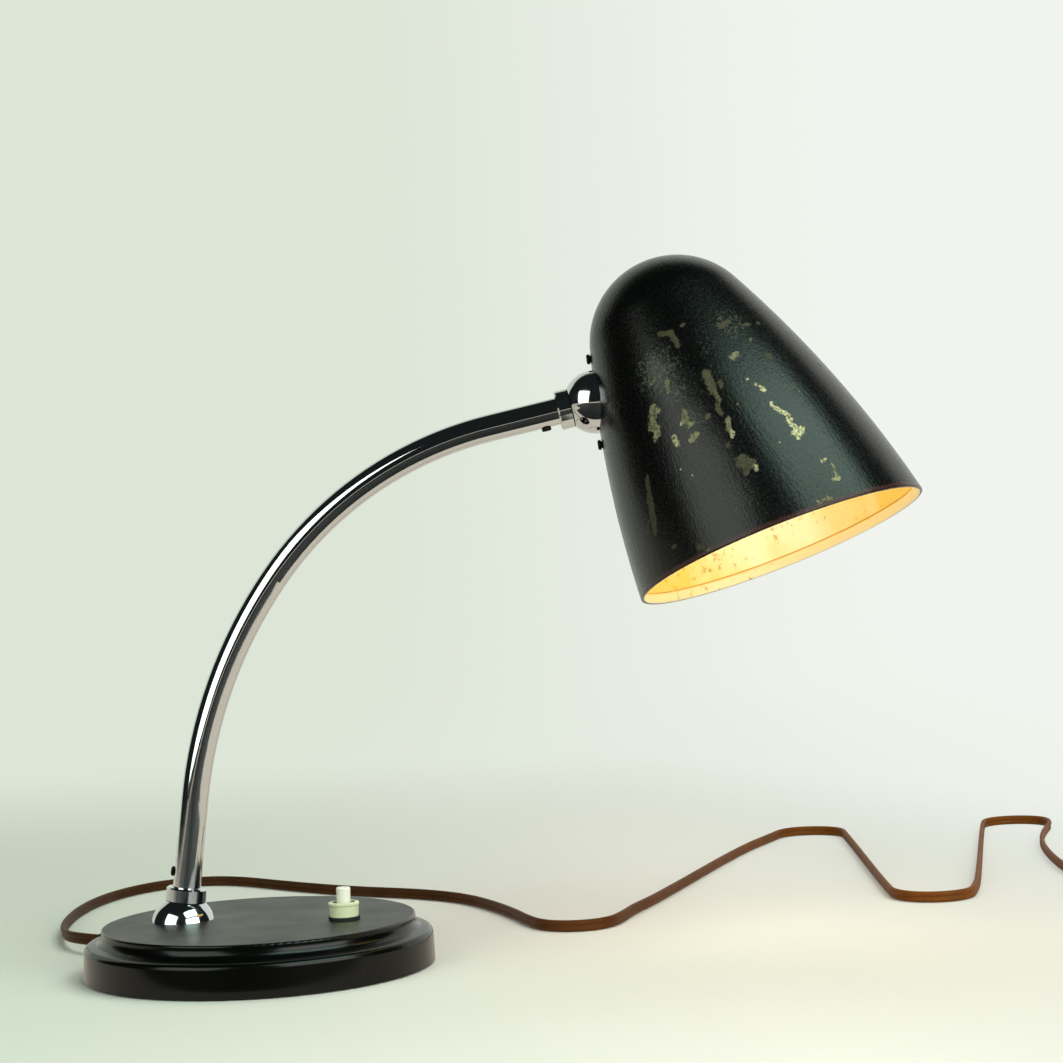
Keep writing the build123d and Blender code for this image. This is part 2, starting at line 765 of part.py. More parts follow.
with BuildPart() as holder_nut:
    with BuildSketch(holder_plane.offset(bracket_sheet)):
        RegularPolygon(holder_nut_flats / 2, 6, major_radius=False)
        Circle(nipple_radius + thread_gap, mode=Mode.SUBTRACT)
    extrude(amount=holder_nut_height)
holder_nut.part.label = "holder_nut"
export_step(holder_nut.part, "parts/holder_nut.step")

contact_level = holder_room_depth - holder_length
with BuildPart() as holder_contact:
    with BuildSketch(holder_plane.offset(contact_level)):
        Circle(nipple_radius)
    extrude(amount=-contact_thickness)
holder_contact.part.label = "holder_contact"
export_step(holder_contact.part, "parts/holder_contact.step")

shell_level = contact_level - contact_thickness
with BuildPart() as holder_shell:
    with BuildSketch(holder_plane.offset(shell_level)):
        Circle(holder_room - thread_gap)
        Circle(bulb_cap_radius + thread_gap, mode=Mode.SUBTRACT)
    extrude(amount=-(holder_room_depth - 2 * contact_thickness))
holder_shell.part.label = "holder_shell"
export_step(holder_shell.part, "parts/holder_shell.step")

with BuildPart() as bulb_cap:
    with BuildSketch(holder_plane.offset(shell_level)):
        Circle(bulb_cap_radius)
    extrude(amount=-bulb_cap_length)
    fillet(bulb_cap.edges().group_by(Axis(bell_apex, bell_way))[0], 2 * contact_thickness)
    with BuildSketch(holder_plane.offset(shell_level - bulb_cap_length)):
        Circle(bulb_cap_radius - bulb_wall)
    extrude(amount=bulb_cap_length - 2 * contact_thickness, mode=Mode.SUBTRACT)
bulb_cap.part.label = "bulb_cap"
export_step(bulb_cap.part, "parts/bulb_cap.step")

bulb_plane = holder_plane.offset(shell_level - bulb_cap_length)
bulb_neck_radius = bulb_cap_radius - contact_thickness
bulb_belly = bulb_radius - bulb_length
with BuildPart() as bulb_glass:
    with BuildSketch(meridian(bulb_plane)):
        with BuildLine():
            Polyline((0, -bulb_length), (0, 0), (bulb_neck_radius, 0))
            TangentArc((bulb_neck_radius, 0), (bulb_radius, bulb_belly), tangent=(bulb_flare, -1))
            RadiusArc((bulb_radius, bulb_belly), (0, -bulb_length), bulb_radius)
        make_face()
    revolve(axis=spin(bulb_plane))
    offset(amount=-bulb_wall, openings=bulb_glass.faces().sort_by(Axis(bell_apex, bell_way))[0])
bulb_glass.part.label = "bulb_glass"
export_step(bulb_glass.part, "parts/bulb_glass.step")

# Lead from the joint to the lampholder
neck_end = leg_foot - neck_nut_height - free_gap
with BuildPart() as holder_block:
    with BuildSketch(holder_plane):
        Circle(holder_radius)
    extrude(amount=-holder_length)
with BuildPart() as shade_lead:
    with BuildSketch(upper_dome_plane.offset(neck_end)):
        Circle(lead_radius)
    extrude(amount=-mount_radius)
    add(holder_block.part, mode=Mode.SUBTRACT)
near_lead = shade_lead.solids().sort_by(Axis(upper_ball, -upper_dome_plane.z_dir))[0]
near_lead.label = "shade_lead"
export_step(near_lead, "parts/shade_lead.step")


# Leads inside the base: gland to switch and switch to the arm's neck
def base_point(along, across, level):
    return base_line * along + base_side * across + Vector(0, 0, level)


def cord_radii(points):
    """Arc radius at each corner of a route: 0.45 of the shorter run over the tangent of half the turn."""
    radii = []
    for before, corner, after in zip(points, points[1:], points[2:]):
        run_in = corner - before
        run_out = after - corner
        half_turn = math.radians(run_in.get_angle(run_out)) / 2
        radii.append(0.45 * min(run_in.length, run_out.length) / math.tan(half_turn))
    return radii


lead_level = plate_top + lead_radius + slide_gap
flange_in = -base_sheet - 3 * free_gap
gland_end = flange_in - gland_flange_height
gland_inside = gland_way * (base_radius + gland_end)
switch_side = switch_offset - switch_length / 2
terminal_level = base_height - base_sheet - switch_height + lead_radius
inlet_route = [
    gland_inside + Vector(0, 0, gland_height),
    gland_inside - gland_way * lead_straight + Vector(0, 0, gland_height),
    gland_way * (base_radius / 2) + Vector(0, 0, lead_level),
    base_point(0, inlet_bow, lead_level),
    base_point(switch_side - lead_straight, lead_spacing / 2, terminal_level),
    base_point(switch_side, lead_spacing / 2, terminal_level),
]
outlet_route = [
    base_point(switch_side, -lead_spacing / 2, terminal_level),
    base_point(switch_side - lead_straight, -lead_spacing / 2, terminal_level),
    base_point(0, -outlet_bow, lead_level),
    base_point(-joint_offset, 0, lead_level),
]
with BuildPart() as base_leads:
    for route in (inlet_route, outlet_route):
        with BuildLine() as line:
            FilletPolyline(*route, radius=cord_radii(route))
        with BuildSketch(Plane(origin=line.line @ 0, z_dir=line.line % 0)):
            Circle(lead_radius)
        sweep(path=line.wire())
base_leads.part.label = "base_leads"
export_step(base_leads.part, "parts/base_leads.step")

# Rubber gland: flange inside, neck through the wall, tapered sleeve outside
with BuildPart() as cord_gland:
    with BuildSketch(meridian(gland_plane)):
        Polygon(
            (0, gland_end),
            (gland_inside_radius, gland_end),
            (gland_inside_radius, flange_in),
            (gland_neck_radius, flange_in),
            (gland_neck_radius, free_gap),
            (gland_flange_radius, free_gap),
            (gland_flange_radius, free_gap + gland_flange_height),
            (gland_root_radius, free_gap + gland_flange_height),
            (gland_tip_radius, gland_length),
            (0, gland_length),
            align=None,
        )
    revolve(axis=spin(gland_plane))
cord_gland.part.label = "cord_gland"
export_step(cord_gland.part, "parts/cord_gland.step")

# Mains cord: flat twin lead lying on its edge on the table, from the gland to the plug
lying = cord_height / 2 + cord_lift
plug_level = plug_thickness / 2
cord_lie = [
    (-112, 136), (-113, 184), (-106, 226), (-90, 257), (-68, 271), (-44, 266), (-14, 236), (22, 205),
    (60, 184), (84, 160), (99, 129), (109, 102), (115, 81), (121, 66), (131, 59), (143, 59),
    (153, 66), (159, 81), (165, 102), (177, 131), (233, 300), (257, 354), (264, 371), (276, 378),
    (290, 375), (299, 364), (299, 346), (290, 127), (291, 110), (300, 99), (314, 97), (326, 105),
    (331, 122), (337, 145), (381, 361), (386, 379), (398, 387), (412, 385), (421, 374), (420, 356),
    (412, 332), (403, 302), (395, 264), (390, 222), (387, 180), (388, 146), (392, 121),
]
cord_rise = [(397, 106, lying + 0.3), (400, 90, plug_level), (400, 72, plug_level)]
cord_points = [(-104, 92, 4.6)] + [(x, y, lying) for x, y in cord_lie] + cord_rise
gland_tip = gland_plane.origin + gland_way * gland_length
first_corner = gland_tip + gland_way * first_run
cord_route = [gland_tip, first_corner] + [Vector(*point) for point in cord_points]
corner_radii = cord_radii(cord_route)
with BuildLine() as cord_line:
    FilletPolyline(*cord_route, radius=corner_radii)
with BuildPart() as mains_cord:
    with BuildSketch(Plane(origin=gland_tip, x_dir=(0, 0, 1), z_dir=gland_way)) as cord_section:
        Rectangle(cord_height, cord_thickness)
        chamfer(cord_section.vertices(), cord_edge)
    sweep(path=cord_line.wire())
mains_cord.part.label = "mains_cord"
export_step(mains_cord.part, "parts/mains_cord.step")

# Plug: moulded body with a tapered tail, two round pins
plug_end = cord_route[-1]
plug_plane = Plane(origin=plug_end, x_dir=(1, 0, 0), z_dir=(0, -1, 0)).offset(thread_gap)
with BuildPart() as plug_body:
    with BuildSketch(plug_plane):
        Circle(plug_tail_radius)
    with BuildSketch(plug_plane.offset(plug_tail_length)):
        RectangleRounded(plug_waist, plug_thickness, plug_tail_radius)
    loft()
    with BuildSketch(plug_plane.offset(plug_tail_length)):
        RectangleRounded(plug_waist, plug_thickness, plug_tail_radius)
    with BuildSketch(plug_plane.offset(plug_length)):
        RectangleRounded(plug_width, plug_thickness, plug_tail_radius)
    loft()
plug_body.part.label = "plug_body"
export_step(plug_body.part, "parts/plug_body.step")

with BuildPart() as plug_pins:
    for side in (pin_pitch / 2, -pin_pitch / 2):
        with BuildSketch(plug_plane.offset(plug_length)):
            with Locations((side, 0)):
                Circle(pin_radius)
        extrude(amount=pin_length)
    tips = plug_pins.edges().group_by(Axis.Y)[0]
    fillet(tips, pin_radius / 2)
plug_pins.part.label = "plug_pins"
export_step(plug_pins.part, "parts/plug_pins.step")
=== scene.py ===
import math
import bpy
from mathutils import Matrix, Vector, noise


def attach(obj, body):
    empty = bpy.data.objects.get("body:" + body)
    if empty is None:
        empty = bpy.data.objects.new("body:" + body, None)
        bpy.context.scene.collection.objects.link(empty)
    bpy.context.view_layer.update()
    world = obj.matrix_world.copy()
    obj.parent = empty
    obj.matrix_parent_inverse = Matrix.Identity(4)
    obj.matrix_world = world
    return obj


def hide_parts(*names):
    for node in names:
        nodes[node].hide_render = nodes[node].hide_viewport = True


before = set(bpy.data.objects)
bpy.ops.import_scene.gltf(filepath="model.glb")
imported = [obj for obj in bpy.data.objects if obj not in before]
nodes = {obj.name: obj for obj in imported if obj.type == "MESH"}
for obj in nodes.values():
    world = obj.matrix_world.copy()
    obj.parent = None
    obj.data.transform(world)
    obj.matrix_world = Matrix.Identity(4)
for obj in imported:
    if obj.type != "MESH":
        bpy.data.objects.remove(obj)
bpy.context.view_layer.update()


# Base shell: sheet steel pressed into a dish with a coved step and a rolled shoulder,
# sprayed with black cellulose lacquer. The switch and the lower ball joint are fixed through its top.
mm_per_m = 1000


def linear(code):
    """A colour written as sRGB hex, as linear red, green, blue and alpha."""
    parts = [int(code[i:i + 2], 16) / 255 for i in (1, 3, 5)]
    return [p / 12.92 if p <= 0.04045 else ((p + 0.055) / 1.055) ** 2.4 for p in parts] + [1.0]


def add(tree, kind, inputs=None, **settings):
    """Add a node, set it up, and give each named input a value or a link from a node or socket."""
    node = tree.nodes.new(kind)
    for key, value in settings.items():
        setattr(node, key, value)
    for key, value in (inputs or {}).items():
        socket = node.inputs[key] if isinstance(key, int) else next(
            s for s in node.inputs if s.name == key and s.enabled)
        if isinstance(value, bpy.types.Node):
            value = next(s for s in value.outputs if s.enabled)
        if isinstance(value, bpy.types.NodeSocket):
            tree.links.new(value, socket)
        else:
            socket.default_value = value
    return node


def new_finish(name):
    """An empty material, its node tree, and the place on the piece in metres."""
    material = bpy.data.materials.new(name)
    material.use_nodes = True
    material.node_tree.nodes.clear()
    return material, material.node_tree, add(material.node_tree, "ShaderNodeTexCoord").outputs["Object"]


def close_finish(tree, inputs):
    """Join the finish to the material's surface."""
    shader = add(tree, "ShaderNodeBsdfPrincipled", inputs)
    add(tree, "ShaderNodeOutputMaterial", {"Surface": shader})


def dress(material, *names):
    """Give each named piece the material."""
    for name in names:
        for spot in nodes[name].material_slots:
            spot.material = material


# Cellulose lacquer, sprayed and not polished: a deep black with a soft gloss that goes pale at a
# low angle, duller on the level top, with a few dust specks and a faint orange peel 1.2 mm across.
lacquer, tree, place = new_finish("sprayed_black_cellulose_lacquer")
cloud = add(tree, "ShaderNodeTexNoise", {"Vector": place, "Scale": mm_per_m / 22, "Detail": 5.0})
peel = add(tree, "ShaderNodeTexNoise", {"Vector": place, "Scale": mm_per_m / 1.2, "Detail": 2.0})
dust = add(tree, "ShaderNodeTexVoronoi", {"Vector": place, "Scale": mm_per_m / 7})
speck = add(tree, "ShaderNodeMapRange", {
    "Value": dust.outputs["Distance"], "From Min": 0.045, "From Max": 0.03})
kept = add(tree, "ShaderNodeMapRange", {
    "Value": dust.outputs["Color"], "From Min": 0.88, "From Max": 0.90})
dusty = add(tree, "ShaderNodeMath", {0: speck, 1: kept}, operation="MULTIPLY")
tone = add(tree, "ShaderNodeMix", {
    "Factor": cloud, "A": linear("#020302"), "B": linear("#070806")}, data_type="RGBA")
colour = add(tree, "ShaderNodeMix", {
    "Factor": dusty, "A": tone, "B": linear("#3c3d35")}, data_type="RGBA")
normal = add(tree, "ShaderNodeNewGeometry").outputs["Normal"]
facing = add(tree, "ShaderNodeSeparateXYZ", {"Vector": normal}).outputs["Z"]
level = add(tree, "ShaderNodeMapRange", {"Value": facing, "From Min": 0.96, "From Max": 0.995})
dulled = add(tree, "ShaderNodeMapRange", {
    "Value": cloud, "From Min": 0.3, "From Max": 0.7, "To Min": 0.34, "To Max": 0.42})
gloss = add(tree, "ShaderNodeMix", {"Factor": level, "A": 0.19, "B": dulled})
relief = add(tree, "ShaderNodeBump", {"Height": peel, "Strength": 0.08, "Distance": 0.0001})
close_finish(tree, {"Base Color": colour, "Roughness": gloss, "IOR": 1.34, "Normal": relief})
dress(lacquer, "base_shell")


# Ballast: a grey iron casting that hangs under the top and gives the lamp its weight.
# It is sand cast and left as it came from the mould.
def mottled(name, dark, light, metallic, rough, grain, depth):
    """A finish of two tones in patches of one grain size in mm, with its own relief in mm."""
    material, tree, place = new_finish(name)
    patch = add(tree, "ShaderNodeTexNoise", {"Vector": place, "Scale": mm_per_m / grain, "Detail": 6.0})
    colour = add(tree, "ShaderNodeMix", {
        "Factor": patch, "A": linear(dark), "B": linear(light)}, data_type="RGBA")
    gloss = add(tree, "ShaderNodeMapRange", {
        "Value": patch, "From Min": 0.3, "From Max": 0.7, "To Min": rough[0], "To Max": rough[1]})
    relief = add(tree, "ShaderNodeBump", {
        "Height": patch, "Strength": 0.6, "Distance": depth / mm_per_m})
    close_finish(tree, {
        "Base Color": colour, "Roughness": gloss, "Metallic": metallic, "Normal": relief})
    return material


# Sand-cast iron: dull dark grey with a sugary skin and rust-brown patches.
dress(mottled("sand_cast_grey_iron", "#2a2724", "#4c443d",
              metallic=0.6, rough=(0.6, 0.85), grain=2.5, depth=0.3), "ballast")


# Bottom plate: sheet steel that closes the base, held to the ballast's bosses by three screws.
# The plate is oiled black, the screws are plated.
# Blackened steel sheet: near black with an oily, uneven gloss.
dress(mottled("oil_blackened_steel_sheet", "#17181a", "#2b2b2b",
              metallic=0.8, rough=(0.35, 0.55), grain=9.0, depth=0.02), "base_plate")
# Zinc-plated turned steel: pale cool grey, slightly cloudy.
zinc = mottled("zinc_plated_turned_steel", "#8d9094", "#b4b6b8",
               metallic=1.0, rough=(0.28, 0.45), grain=1.6, depth=0.01)
dress(zinc, "plate_screws")


# Base felt: a disc of pressed wool felt, cut with a die and glued under the bottom plate.
# Its face is dimpled and its edge a little uneven; it keeps the lamp from scratching the table.
def turned(name, rings, count):
    """A closed mesh of revolution about z from rings of (radius, height), in mm."""
    points = [(r * math.cos(t) / mm_per_m, r * math.sin(t) / mm_per_m, z / mm_per_m)
              for r, z in rings for t in (2 * math.pi * k / count for k in range(count))]
    last = (len(rings) - 1) * count
    faces = [(a + k, a + (k + 1) % count, a + count + (k + 1) % count, a + count + k)
             for a in range(0, last, count) for k in range(count)]
    faces += [tuple(range(count))[::-1], tuple(range(last, last + count))]
    mesh = bpy.data.meshes.new(name)
    mesh.from_pydata(points, [], faces)
    mesh.shade_smooth()
    piece = bpy.data.objects.new(name, mesh)
    bpy.context.scene.collection.objects.link(piece)
    return piece


felt_under, felt_over = 0.06, 1.47
felt_rings = [(r, felt_under) for r in (1, 12, 24, 36, 48, 58, 66, 71)]
felt_rings += [(72.3, 0.3), (72.5, 0.75), (72.3, 1.2), (71, 1.45)]
felt_rings += [(r, felt_over) for r in (58, 36, 12, 1)]
felt = turned("felt_pad", felt_rings, 144)
dents_per_m, dent_depth = 400, 0.00005
lowest, highest = 0.00001, 0.00149
waves_per_m, wave_share, edge_from = 300, 0.0012, 0.07
for point in felt.data.vertices:
    dent = noise.noise(point.co * dents_per_m) * dent_depth
    point.co.z = min(max(point.co.z + dent, lowest), highest)
    wave = noise.noise(Vector((point.co.x * waves_per_m, point.co.y * waves_per_m, 5)))
    edge = 1 + wave_share * wave
    if point.co.length > edge_from:
        point.co.x *= min(edge, 1.0)
        point.co.y *= min(edge, 1.0)
# Pressed wool felt: matt charcoal, with matted fibres about 0.4 mm apart that catch no light.
felt_finish, tree, place = new_finish("pressed_charcoal_wool_felt")
fibre = add(tree, "ShaderNodeTexNoise", {
    "Vector": place, "Scale": mm_per_m / 0.4, "Detail": 4.0, "Distortion": 1.5})
tone = add(tree, "ShaderNodeMix", {
    "Factor": fibre, "A": linear("#12130f"), "B": linear("#2c2d28")}, data_type="RGBA")
relief = add(tree, "ShaderNodeBump", {"Height": fibre, "Strength": 0.8, "Distance": 0.0002})
close_finish(tree, {"Base Color": tone, "Roughness": 0.95, "Sheen Weight": 0.3, "Normal": relief})
felt.data.materials.append(felt_finish)
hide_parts("base_felt")
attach(felt, "base")


# Push switch: a moulded body inside the base, clamped through the top by an ivory ring nut
# over a rubber washer. The white push button stands on a coil spring.
# Phenolic moulding: dark brown with a slight swirl and a dull gloss.
phenolic = mottled("moulded_brown_phenolic", "#22130c", "#3a2316",
                   metallic=0.0, rough=(0.3, 0.42), grain=5.0, depth=0.01)
dress(phenolic, "switch_body")
# Moulded rubber: black, dusty and without gloss.
rubber = mottled("moulded_black_rubber", "#0c0c0b", "#1d1c1a",
                 metallic=0.0, rough=(0.65, 0.85), grain=0.8, depth=0.02)
dress(rubber, "switch_gasket")
# Urea resin, turned after moulding: yellowed ivory with a waxy gloss.
dress(mottled("turned_ivory_urea_resin", "#d6deaf", "#e2e8c2",
              metallic=0.0, rough=(0.34, 0.46), grain=3.0, depth=0.01), "switch_collar")
# Urea resin as moulded: off-white, smooth and faintly clouded.
dress(mottled("moulded_white_urea_resin", "#f0f0da", "#f7f7ea",
              metallic=0.0, rough=(0.26, 0.36), grain=2.5, depth=0.005), "switch_button")
dress(zinc, "switch_spring")


# Ball joints: at each end of the arm a slotted cup screwed to a seat, with a friction cap inside,
# a hollowed collar outside, and a hollow stem, spring washer and nut that clamp them together.
# Chromium plate on buffed steel: a mirror with a thin haze, and small dull pits 1.6 mm apart.
chrome, tree, place = new_finish("chromium_plated_buffed_steel")
haze = add(tree, "ShaderNodeTexNoise", {"Vector": place, "Scale": mm_per_m / 6, "Detail": 5.0})
pits = add(tree, "ShaderNodeTexVoronoi", {"Vector": place, "Scale": mm_per_m / 1.6})
pit = add(tree, "ShaderNodeMapRange", {
    "Value": pits.outputs["Distance"], "From Min": 0.14, "From Max": 0.06})
few = add(tree, "ShaderNodeMapRange", {
    "Value": pits.outputs["Color"], "From Min": 0.6, "From Max": 0.64})
pitted = add(tree, "ShaderNodeMath", {0: pit, 1: few}, operation="MULTIPLY")
colour = add(tree, "ShaderNodeMix", {
    "Factor": pitted, "A": linear("#d3d6d6"), "B": linear("#6d6a60")}, data_type="RGBA")
polish = add(tree, "ShaderNodeMapRange", {
    "Value": haze, "From Min": 0.35, "From Max": 0.75, "To Min": 0.05, "To Max": 0.14})
close_finish(tree, {"Base Color": colour, "Roughness": polish, "Metallic": 1.0})
dress(chrome, "lower_dome", "lower_collar", "upper_dome", "upper_collar")
# Turned brass: warm yellow gone brown in places.
brass = mottled("turned_tarnished_brass", "#7a5c2a", "#b18d4c",
                metallic=1.0, rough=(0.25, 0.42), grain=2.0, depth=0.01)
dress(brass, "lower_seat", "upper_seat", "lower_friction_cap", "upper_friction_cap")
dress(zinc, "lower_seat_nut", "upper_seat_nut", "lower_seat_washer", "lower_stem", "upper_stem")
# Blued spring steel: dark with a violet-grey gloss.
blued = mottled("blued_spring_steel", "#1c1d22", "#34353c",
                metallic=0.9, rough=(0.3, 0.45), grain=1.5, depth=0.01)
dress(blued, "lower_spring_washer", "upper_spring_washer", "lower_stem_nut", "upper_stem_nut")
# Browned steel screw heads: near black, brownish in patches.
browned = mottled("browned_steel_screw_heads", "#0d0b08", "#2c2416",
                  metallic=0.8, rough=(0.35, 0.55), grain=1.0, depth=0.02)
dress(browned, "lower_set_screw", "upper_set_screw", "bracket_screws")


# Arm: a steel tube of 12 mm, drawn, bent in two arcs, buffed and chromium plated.
# It is pushed over the spigot of each ball joint, and the lead runs inside it.
# The same plate as the joints, but hazed and spotted with dull pits towards both ends.
tube_plate, tree, place = new_finish("chromium_plated_drawn_tube")
parts = add(tree, "ShaderNodeSeparateXYZ", {"Vector": place})
low_end = add(tree, "ShaderNodeMapRange", {
    "Value": parts.outputs["Z"], "From Min": 0.09, "From Max": 0.045})
high_end = add(tree, "ShaderNodeMapRange", {
    "Value": parts.outputs["X"], "From Min": 0.13, "From Max": 0.16})
ends = add(tree, "ShaderNodeMath", {0: low_end, 1: high_end}, operation="MAXIMUM")
haze = add(tree, "ShaderNodeTexNoise", {"Vector": place, "Scale": mm_per_m / 5, "Detail": 6.0})
hazed = add(tree, "ShaderNodeMath", {0: haze, 1: ends}, operation="MULTIPLY")
pits = add(tree, "ShaderNodeTexVoronoi", {"Vector": place, "Scale": mm_per_m / 1.7})
pit = add(tree, "ShaderNodeMapRange", {
    "Value": pits.outputs["Distance"], "From Min": 0.2, "From Max": 0.1, "To Max": 0.7})
rust = add(tree, "ShaderNodeMath", {0: pit, 1: ends}, operation="MULTIPLY")
colour = add(tree, "ShaderNodeMix", {
    "Factor": rust, "A": linear("#d3d6d6"), "B": linear("#7a776c")}, data_type="RGBA")
polish = add(tree, "ShaderNodeMapRange", {
    "Value": hazed, "From Max": 0.7, "To Min": 0.05, "To Max": 0.13})
close_finish(tree, {"Base Color": colour, "Roughness": polish, "Metallic": 1.0})
dress(tube_plate, "arm_tube")


# Shade: a bell of sheet steel, spun over a former, its mouth trimmed aslant and hemmed inwards.
# Outside it is black lacquer, chipped to the metal; inside it is cream stoving enamel.
bell_tilt, bell_lean = math.radians(23.2), math.radians(9.95)
nose_radius, nose_turn = 38.0, math.radians(69)
bell_foot, bell_depth = 65.2, 147.4
mouth_depth, mouth_trim = 139.2, math.radians(4.7)
sheet = 1.0
apex = Vector((176.58, 17.79, 296.75))
down = Vector((math.sin(bell_tilt) * math.cos(bell_lean), -math.sin(bell_lean),
               -math.cos(bell_tilt) * math.cos(bell_lean)))
head_rise = math.radians(11.35)
head_way = Vector((math.cos(head_rise), 0, math.sin(head_rise)))
outward = (head_way - down * head_way.dot(down)).normalized()
across = down.cross(outward)
nose_end = Vector((nose_radius * math.sin(nose_turn), nose_radius * (1 - math.cos(nose_turn))))
nose_way = Vector((math.sin(nose_turn), -math.cos(nose_turn)))
run = Vector((bell_foot, bell_depth)) - nose_end
side_radius = -run.dot(run) / (2 * run.dot(nose_way))
side_centre = nose_end - nose_way * side_radius


def wall_radius(depth, inset):
    """Radius of the wall at a depth below the top, on a surface that lies inset in the outside."""
    if depth < nose_end.y:
        inner = nose_radius - inset
        return math.sqrt(max(0.0, inner ** 2 - (nose_radius - depth) ** 2))
    return side_centre.x + math.sqrt((side_radius - inset) ** 2 - (depth - side_centre.y) ** 2)


def mouth_at(turn):
    """Depth of the slanting mouth at a turn about the axis, found in a few steps."""
    depth = mouth_depth
    for _ in range(6):
        depth = mouth_depth + wall_radius(depth, 0) * math.cos(turn) * math.tan(mouth_trim)
    return depth


def turned_from(start, turn):
    """Angle in radians from a start in degrees to a turn in radians, the short way round."""
    return math.radians((math.degrees(turn) - start + 180) % 360 - 180)


# Chips in the lacquer: turn in degrees and depth in mm at each end of a stroke,
# half its width in mm, and how bare the metal in it is. Those from 178 degrees on are at the back.
chips = [
    (104.2, 41.4, 98.3, 43.4, 1.3, 0.1),
    (98.6, 43.8, 97.8, 49.9, 1.2, 0.15),
    (91.4, 42.6, 89.4, 42.3, 0.6, 0.0),
    (72.7, 50.2, 65.7, 49, 1.1, 0.1),
    (60.4, 52.8, 55.9, 53.2, 0.7, 0.0),
    (76.3, 65.4, 74.1, 64.6, 1.5, 0.65),
    (92, 67, 92.9, 76.2, 1.8, 0.35),
    (92.7, 75.8, 92.6, 80.4, 1, 0.4),
    (88.3, 73.3, 88.3, 74.3, 1.2, 0.2),
    (111, 62.4, 112.4, 66.6, 1, 0.6),
    (119.2, 59.4, 117.1, 59, 0.7, 0.6),
    (109.1, 51.4, 108.3, 52.3, 0.8, 0.1),
    (94.7, 82.4, 94.5, 85.9, 1, 0.3),
    (101.1, 84.5, 99.7, 84.7, 1.1, 0.4),
    (109, 77.9, 109, 81.3, 1.7, 0.6),
    (109.3, 84, 106.9, 84.3, 1.1, 0.7),
    (112.4, 81.9, 111.7, 81.4, 0.9, 0.9),
    (117.7, 85.3, 117.6, 88.7, 1.2, 0.9),
    (110.7, 90.4, 108.6, 89.2, 1.7, 0.7),
    (86.6, 85.3, 86.2, 85.5, 0.5, 1),
    (76.6, 77, 76.2, 77.1, 0.6, 1),
    (74.2, 80.5, 74.1, 81.1, 0.7, 1),
    (73, 82.6, 72.6, 84.3, 1, 1),
    (58.9, 88.1, 57, 90.8, 0.4, 0.6),
    (30.8, 95.2, 37.5, 99.3, 0.5, 0.3),
    (73, 90.4, 73.1, 91.4, 0.8, 1),
    (72.9, 93.5, 69.6, 98.5, 1.2, 1),
    (70.8, 101.1, 70.5, 103.7, 1.5, 1),
    (71.1, 107, 68.4, 106.6, 2.2, 1),
    (71.5, 109.4, 71.4, 109.9, 0.8, 1),
    (59.3, 70, 59.1, 71.1, 1.3, 0.1),
    (92.9, 89.2, 94.9, 94.1, 1.1, 0.6),
    (94.3, 94.9, 94.6, 97.2, 0.9, 0.9),
    (97.7, 98.9, 98.2, 100.1, 0.7, 0.2),
    (122.7, 69.6, 126, 76.9, 2, 0.66),
    (123.5, 78.1, 126, 81.1, 1.7, 0.72),
    (120.7, 70.6, 120.1, 71.9, 0.7, 0.8),
    (96.1, 108.9, 93.9, 110.6, 3, 0.3),
    (95.1, 106.6, 94.5, 107.3, 1.3, 0.3),
    (96.5, 113.4, 96.4, 114, 1.1, 0.3),
    (92.2, 112.5, 92.6, 114.2, 0.9, 0.9),
    (116.2, 103.9, 116.3, 104.2, 0.6, 1),
    (120.5, 98.7, 120.1, 99, 0.4, 1),
    (107.1, 115.9, 106.9, 116.5, 0.9, 0.2),
    (137.8, 94.1, 140, 102.9, 1.3, 0.1),
    (140, 102.9, 142, 110.9, 1.9, 0.1),
    (141.1, 110.5, 143.6, 116.5, 1.2, 0.1),
    (145.4, 110.3, 148.3, 115.3, 0.4, 0.1),
    (125.4, 131.6, 123.7, 132.1, 1.5, 0.15),
    (122.8, 134.4, 121.9, 134.5, 0.7, 0.6),
    (68, 122.3, 66, 122.1, 0.7, 0.9),
    (64.9, 125, 65.6, 130.1, 0.7, 0.7),
    (67.7, 131.3, 65.2, 131.8, 1, 0.8),
    (77.8, 137.2, 77.6, 138.3, 0.8, 0.7),
    (75.3, 137.9, 73.2, 138, 1.1, 0.6),
    (79, 108, 79, 108, 0.4, 1),
    (88.7, 126.3, 88.7, 126.3, 0.4, 1),
    (28.7, 78.5, 29.5, 80.8, 0.5, 0.1),
    (137.3, 125.8, 135.5, 125.8, 0.7, 0.2),
    (61.7, 59.8, 62.4, 61.3, 0.5, 0.5),
    (49.7, 53.2, 49, 54, 0.6, 0.3),
    (178, 92, 179, 99, 1.2, 0.2),
    (212, 58, 214, 63, 1, 0.3),
    (226, 126, 224, 127, 1.1, 0.8),
    (236, 84, 233, 86, 1.4, 0.5),
    (251, 47, 255, 48.5, 1, 0.15),
    (262, 101, 263, 109, 1.2, 0.3),
    (284, 72, 286, 75, 1.5, 0.7),
    (301, 119, 299, 121, 1.8, 0.3),
    (318, 63, 319, 70, 0.8, 0.4),
    (343, 104, 345, 110, 0.7, 0.2),
]
chip_far, chip_fade = 40, 0.3
# Scuffed places and painted sheen: turn in degrees, depth and reach in mm, and strength. Those on the
# front lie along the bands where the lacquer mirrors the soft boxes, and their pale flecks are painted
# sheen; those from 205 degrees on are scuffs at the back.
scuffs_and_sheen = [(114, 56, 15, 1.0), (110, 68, 10, 0.8), (107, 82, 11, 0.7), (67, 50, 12, 0.7),
          (84, 56, 12, 0.4), (92, 70, 14, 0.4), (106, 100, 16, 0.5), (104, 122, 16, 0.5),
          (72, 100, 22, 0.3), (52, 72, 20, 0.3), (205, 110, 16, 0.5), (245, 60, 16, 0.7),
          (285, 95, 18, 0.5), (320, 70, 14, 0.5)]
